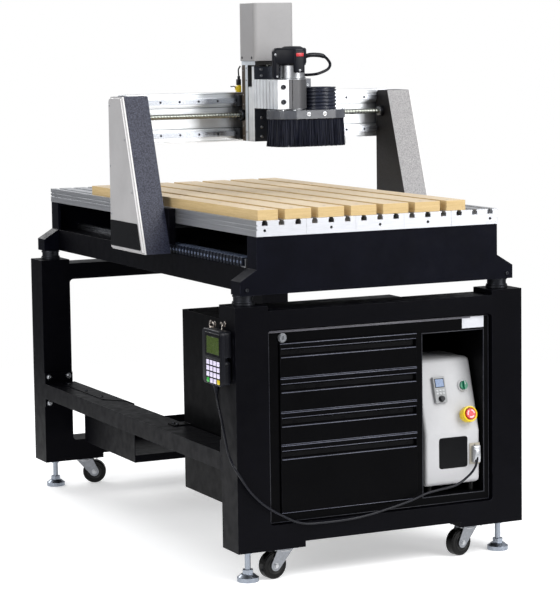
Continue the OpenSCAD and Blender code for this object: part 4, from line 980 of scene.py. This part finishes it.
for code, sx, sy, angle in (("fl", -1, -1, 8), ("fr", 1, -1, 14), ("bl", -1, 1, 156), ("br", 1, 1, 20)):
    turn = math.radians(angle)
    swivel = Vector((sx * 292, sy * 751, 0))
    axle = swivel + Vector((-32 * math.cos(turn), -32 * math.sin(turn), 38))
    across = Vector((-math.sin(turn), math.cos(turn), 0))
    hubs, nuts = [], []
    for out in (-1, 1):
        hubs.append((lathe([(5.3, 0), (24, 0), (24, 0.8), (22.5, 1.3), (20.5, 0.4), (12, 0.4), (10.5, 1.4),
                            (5.3, 1.4)], axle + across * out * 15, across * out, 40, True), 0))
        nuts.append(lathe([(0, 0), (8.6, 0), (8.6, 0.8), (6.6, 1.0), (6.6, 4.4), (5.8, 5.2), (0, 5.2)],
                          axle + across * out * 18.9, across * out, 6 if out < 0 else 24))
    group(f"wheel_hub_{code}", hubs, HUB, f"wheel_{code}")
    nuts.append(lathe([(14, 0), (24.4, 0), (25, 0.8), (25, 2.6), (24, 3.2), (14, 3.2)],
                      (swivel.x, swivel.y, 75.2), UP, 40, True))
    group(f"fork_nuts_{code}", nuts, ZINC, f"fork_{code}")

# ---------------------------------------------------------------- cabinet

DRAWER_ZS = (651, 555, 462, 372, 184)
for n in range(4):
    z1, z0 = DRAWER_ZS[n] - 1, DRAWER_ZS[n + 1] + 1
    # Light lines at each drawer's top edge, pull lips, middle and bottom edge: painted highlights.
    group(f"drawer_edges_{n + 1}", [
        block((-311.5, -797.2, z1 - 2.2), (109.5, -793, z1 - 0.1), 0.9, 2),
        block((-309, -797.6, z1 - 39.6), (107, -793.5, z1 - 37.4), 0.9, 2),
        block((-309, -796.9, z1 - 15.4), (107, -793.5, z1 - 13.9), 0.6, 2),
        block((-311.5, -796.6, z0 + 0.1), (109.5, -793, z0 + 1.4), 0.5, 2),
    ], DRAWER_HIGHLIGHT, f"drawer_{n + 1}")
    group(f"drawer_strip_{n + 1}", [block((-306, -785.6, z1 - 33), (104, -784.9, z1 - 20), 0.3, 1)], STRIP,
          f"drawer_{n + 1}")
    group(f"drawer_runners_{n + 1}", [block((x0, -770, z1 - 56), (x0 + 1.6, -300, z1 - 44), 0.3, 1)
                                      for x0 in (-304.6, 102.4)], ZINC, f"drawer_{n + 1}")
group("blank_badge", [block((258, -791.4, 652), (328, -790, 684), 0.5, 2)], PLATE, "machine")
# A painted highlight band along the top edge of the cabinet front.
group("cabinet_top_edge_highlight", [block((-344, -791.6, 679.6), (285, -789, 686), 1.0, 2)], CASE_TOP_HIGHLIGHT, "machine")
# Faint painted highlights along the case's edges and round its right-hand opening.
case_edges = [((285, -791, 684), (344, -789, 686)), ((-344, -791, 160), (344, -789, 162)),
              ((342, -791, 162), (344, -789, 684)), ((-344, -791, 162), (-342, -789, 684)),
              ((127.6, -791.4, 182), (130, -786, 647)), ((326, -791.4, 182), (328.4, -786, 647)),
              ((127.6, -791.4, 645), (328.4, -786, 647.4)), ((127.6, -791.4, 181.6), (328.4, -786, 184))]
group("cabinet_edge_highlights", [block(lo, hi, 0.8, 2) for lo, hi in case_edges], CASE_FAINT_HIGHLIGHT, "machine")
vents = [block((x, -213.2, z), (x + 26, -212.2, z + 6), 0.4, 1) for z in (560, 580)
         for x in range(150, 300, 36)]
group("cabinet_vents", vents, OXIDE, "machine")
screws("cabinet_back_screws", [(x, -213, z) for x in (-330, -110, 110, 330) for z in (175, 420, 672)],
       BACK, 4, 2.4, "machine", dome_bolt, OXIDE)
group("lock_ring",
      [lathe([(11.2, 0), (13.2, 0), (13.2, 1.2), (12.4, 2.4), (11.2, 2.4)], (-302, -790, 665), FRONT, 40,
             True)], ZINC, "machine")

# ---------------------------------------------------------------- controller

LEAN = math.atan(58 / 203)
MODULE, SWITCH, ESTOP = (188, 86), (286, 130), (282, 46)


def on_panel(x, s):
    """Local right, up and outwards on the leaning panel, at x across and s up from the fold."""
    up = Vector((0, math.sin(LEAN), math.cos(LEAN)))
    out = Vector((0, -math.cos(LEAN), math.sin(LEAN)))
    turn = Matrix((Vector((1, 0, 0)), up, out)).transposed().to_4x4()
    return Matrix.Translation(Vector((x, -780, 357)) + up * s) @ turn


shell = prism([(-780, 222), (-776, 213), (-767, 208), (-570, 208), (-570, 560), (-712, 560), (-720, 556.5),
               (-724.5, 549), (-779.5, 360), (-780, 354)], "x", 145, 321, 0)
bmesh.ops.recalc_face_normals(shell, faces=shell.faces[:])
rim = [e for e in shell.edges if all(abs(v.co.x - e.verts[0].co.x) < 0.01 for v in e.verts)]
bmesh.ops.bevel(shell, geom=rim, offset=9, segments=5, profile=0.5, affect="EDGES", clamp_overlap=True)
feet = [lathe([(0, 0), (9, 0), (9, 22), (8, 24.5), (0, 24.5)], (x, y, 184), UP, 24)
        for x in (165, 301) for y in (-760, -590)]
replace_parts(group("controller_shell", [(shell, 0)] + [(foot, 1) for foot in feet], WHITE, "machine",
                  40, (RUBBER,)), "controller_case")
base = on_panel(*MODULE)
parts = [
    (moved(block((0, 0, -1), (38, 74, 10), 2.0, 3), base), 0),
    (moved(block((4, 43, 9.6), (34, 69, 10.5), 0.4, 1), base), 1),
    (moved(block((6, 45, 10.4), (32, 67, 10.9), 0.2, 1), base), 2),
    (moved(lathe([(3, 0), (9.2, 0), (9.2, 0.9), (8.2, 1.2), (3, 1.2)], (19, 11, 9.6), UP, 28, True),
           base), 1),
]
for col in range(3):
    for row in range(2):
        x, y = 4.6 + 10 * col, 23.5 + 8.4 * row
        parts.append((moved(block((x, y, 9.6), (x + 7.6, y + 5.4, 11.2), 0.7, 2), base), 3))
group("display_module", parts, GREY, "machine", materials=(GLOSS, DISPLAY, KEYCAP))
group("switch_bezel",
      [moved(lathe([(12.7, 0), (17.5, 0), (17.5, 2.4), (16.2, 4.6), (14.2, 5.4), (12.7, 5.4)], (0, 0, -0.5),
                   UP, 40, True), on_panel(*SWITCH))], WHITE, "machine")
group("switch_mark", [moved(block((-0.9, 1, 16.8), (0.9, 11, 17.3), 0.2, 1), on_panel(*SWITCH))], KEYCAP,
      "main_switch")
collar = [(8.7, 0), (20, 0), (20.3, 1.5), (20.3, 8), (22.4, 9.4), (23, 11), (23, 26.8), (22, 28.8),
          (19.6, 29.4), (17.6, 28.6), (17.1, 26.5), (17.1, 19.5), (8.7, 19.5)]
group("estop_collar", [moved(lathe(collar, (0, 0, -0.5), UP, 48, True), on_panel(*ESTOP))], YELLOW,
      "machine")
arrows = []
for k in range(3):
    start = 120 * k
    points = [(r * math.cos(math.radians(start + a)), r * math.sin(math.radians(start + a)))
              for r, sweep_in in ((12.0, range(0, 81, 16)), (8.2, range(80, -1, -16))) for a in sweep_in]
    arrows.append(moved(prism(points, "z", 32.2, 32.8), on_panel(*ESTOP)))
group("estop_arcs", arrows, PALE_RED, "estop")
label = prism(rounded(188, 256, 280, 344, 8, 4), "y", -780.6, -779.4, 0)
group("blank_label", [label], GLOSS, "machine")
group("cable_plug", [
    (block((286, -783, 262), (319, -779.5, 322), 1.2, 2), 0),
    (block((291, -797, 268), (314, -782, 316), 2.4, 3), 1),
    (block((293, -800, 276), (312, -796, 306), 1.6, 2), 1),
    (socket_screw((302.5, -783, 319), FRONT, 2.4, 2.4), 0),
    (socket_screw((302.5, -783, 265), FRONT, 2.4, 2.4), 0),
], BEIGE, "machine", materials=(SILVER,))
group("mains_inlet", [
    (block((170, -570.5, 240), (202, -566, 266), 1.2, 2), 0),
    (sweep([(186, -566, 253), (186, -545, 252), (190, -510, 235), (200, -460, 200), (206, -420, 190)], 4.4,
           12, 8), 0),
    (block((240, -570.5, 300), (300, -568.6, 360), 1, 2), 0)], PLASTIC, "machine")

# ---------------------------------------------------------------- pendant

FACE, TOP, BOTTOM = -482.5, 693, 543
shell = prism(rounded(-786, BOTTOM, -664, TOP, 14, 5), "x", FACE, -470.5, 0)
bmesh.ops.recalc_face_normals(shell, faces=shell.faces[:])
rim = [e for e in shell.edges if all(abs(v.co.x - FACE) < 0.01 for v in e.verts)]
bmesh.ops.bevel(shell, geom=rim, offset=3.6, segments=4, profile=0.5, affect="EDGES")
parts = [
    (shell, 0),
    (prism(rounded(-784, 618, -666, 691, 9, 4), "x", -471, -448, 2.6, 3), 0),
    (prism(rounded(-781, 547, -669, 610, 8, 4), "x", -471, -450.5, 2.6, 3), 0),
    (block((-471, -774, 602), (-456, -676, 626), 1.0, 2), 0),
    (prism(rounded(-782, 620, -684, 684, 3, 3), "x", FACE - 0.9, FACE + 0.2, 0.4, 1), 1),
    (block((FACE - 1.2, -776, 628), (FACE - 0.8, -697, 674), 0.2, 1), 2),
    (prism(rounded(-781.5, 546, -687, 614, 3, 3), "x", FACE - 0.6, FACE + 0.2, 0.3, 1), 1),
]
for col in range(4):
    for row in range(4):
        y0, z0 = -778.5 + 22.4 * col, 548.5 + 16.3 * row
        index = 4 if (row == 0 and col == 3) else 5 if (row == 0 and col == 0) else 3
        parts.append((block((FACE - 1.7, y0, z0), (FACE - 0.1, y0 + 17.0, z0 + 12.4), 0.7, 2), index))
relief = [(0, 0), (11, 0), (11, -5), (9.4, -6)]
for k in range(4):
    h = -7 - 5 * k
    relief += [(9.0 - 1.1 * k, h), (9.0 - 1.1 * k, h - 2.6), (7.0 - 0.9 * k, h - 3.0),
               (7.0 - 0.9 * k, h - 4.6)]
relief += [(3.6, -27), (0, -27)]
parts.append((lathe(relief, (-465.3, -718, 544), UP, 24), 0))
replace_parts(group("pendant_shell", parts, PENDANT, "hand_pendant", 40,
                  (GLOSS, LCD, KEY, KEY_GREEN, KEY_YELLOW)), "pendant")
cable = [(-465.3, -718, 522), (-465.5, -721, 502), (-466, -734, 474), (-465, -746, 449), (-462, -760, 400),
         (-460, -778, 357), (-458, -806, 330), (-446, -812, 307), (-413, -812, 258), (-369, -812, 215),
         (-309, -812, 178), (-264, -812, 158), (-210, -812, 152), (-80, -812, 155), (60, -812, 180),
         (126, -812, 199), (167, -811, 205), (226, -806, 212), (269, -804, 234), (291, -803, 256),
         (300, -800, 276), (302, -797, 284)]
bm = sweep(cable, 3.4, 12, 8)
cord = piece("pendant_cable", bm, CABLE, None, 60)
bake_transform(cord)


# ---------------------------------------------------------------- camera, light and floor


def area_light(name, place, target, size, power, size_y=None):
    """A soft box, in metres."""
    data = bpy.data.lights.new(name, "AREA")
    data.energy = power
    data.size = size
    if size_y:
        data.shape = "RECTANGLE"
        data.size_y = size_y
    obj = bpy.data.objects.new(name, data)
    obj.location = place
    obj.rotation_euler = (Vector(target) - Vector(place)).to_track_quat("-Z", "Y").to_euler()
    scene.collection.objects.link(obj)
    return obj


def set_camera():
    yaw, pitch, roll = 0.4418, 0.1023, 0.0144
    ahead = Vector((math.sin(yaw) * math.cos(pitch), math.cos(yaw) * math.cos(pitch), -math.sin(pitch)))
    right = Vector((math.cos(yaw), -math.sin(yaw), 0))
    up = right.cross(ahead)
    right, up = (right * math.cos(roll) - up * math.sin(roll)), (right * math.sin(roll) + up * math.cos(roll))
    data = bpy.data.cameras.new("camera")
    data.sensor_fit = "AUTO"
    data.sensor_width = 36.0
    data.lens = 132.29
    data.shift_x = 0.0366
    data.shift_y = -0.0627
    data.clip_end = 200.0
    obj = bpy.data.objects.new("camera", data)
    turn = Matrix((right, up, -ahead)).transposed().to_4x4()
    obj.matrix_world = Matrix.Translation(Vector((-2.9188, -6.1752, 1.4730))) @ turn
    scene.collection.objects.link(obj)
    scene.camera = obj


def set_world():
    """White for the camera, a dimmer graded dome for light and reflections."""
    world = bpy.data.worlds.new("studio")
    scene.world = world
    world.use_nodes = True
    nodes, links = world.node_tree.nodes, world.node_tree.links
    nodes.clear()
    out = nodes.new("ShaderNodeOutputWorld")
    pick = nodes.new("ShaderNodeMixShader")
    path = nodes.new("ShaderNodeLightPath")
    seen = nodes.new("ShaderNodeBackground")
    seen.inputs["Color"].default_value = (1, 1, 1, 1)
    dome = nodes.new("ShaderNodeBackground")
    coord = nodes.new("ShaderNodeTexCoord")
    split = nodes.new("ShaderNodeSeparateXYZ")
    ramp = nodes.new("ShaderNodeValToRGB")
    ramp.color_ramp.elements[0].position = 0.42
    ramp.color_ramp.elements[0].color = (0.16, 0.165, 0.18, 1)
    ramp.color_ramp.elements[1].position = 0.80
    ramp.color_ramp.elements[1].color = (0.85, 0.86, 0.88, 1)
    level = nodes.new("ShaderNodeMapRange")
    level.inputs["From Min"].default_value = -1.0
    links.new(coord.outputs["Generated"], split.inputs[0])
    links.new(split.outputs["Z"], level.inputs["Value"])
    links.new(level.outputs["Result"], ramp.inputs["Fac"])
    links.new(ramp.outputs["Color"], dome.inputs["Color"])
    dome.inputs["Strength"].default_value = 0.8
    links.new(path.outputs["Is Camera Ray"], pick.inputs["Fac"])
    links.new(dome.outputs[0], pick.inputs[1])
    links.new(seen.outputs[0], pick.inputs[2])
    links.new(pick.outputs[0], out.inputs["Surface"])


def set_floor():
    s = Shader("floor_paint")
    s.set("Base Color", s.mix(s.span(s.noise(1.5, 3.0), 0.3, 0.7), (0.93, 0.93, 0.93), (0.96, 0.96, 0.96)))
    s.set("Roughness", s.span(s.noise(5.0), 0.3, 0.7, 0.55, 0.7))
    s.set("Specular IOR Level", 0.2)
    s.set("Emission Color", (1.0, 1.0, 1.0))
    s.set("Emission Strength", 0.42)
    far = s.nodes.new("ShaderNodeVectorMath")
    far.operation = "LENGTH"
    s.links.new(s.coord.outputs["Object"], far.inputs[0])
    s.set("Alpha", s.span(far.outputs["Value"], 1.3, 3.4, 1.0, 0.0))
    bm = bmesh.new()
    bmesh.ops.create_grid(bm, x_segments=4, y_segments=4, size=30.0)
    mesh = bpy.data.meshes.new("floor")
    bm.to_mesh(mesh)
    bm.free()
    mesh.materials.append(s.material)
    floor = bpy.data.objects.new("floor", mesh)
    floor.location.z = -0.0005
    scene.collection.objects.link(floor)


set_camera()
set_world()
set_floor()
area_light("key", (1.8, -3.6, 3.6), (0, -0.2, 0.7), 2.6, 158)
area_light("fill", (-4.2, -2.2, 2.4), (0, 0, 0.8), 2.4, 76, size_y=2.6)
area_light("rim", (-1.0, 4.5, 3.4), (0, 0, 0.9), 2.6, 110)
area_light("front_sheen", (2.4, -4.6, 1.3), (0, -0.6, 0.8), 1.4, 40, size_y=2.2)
scene.view_settings.view_transform = "Standard"
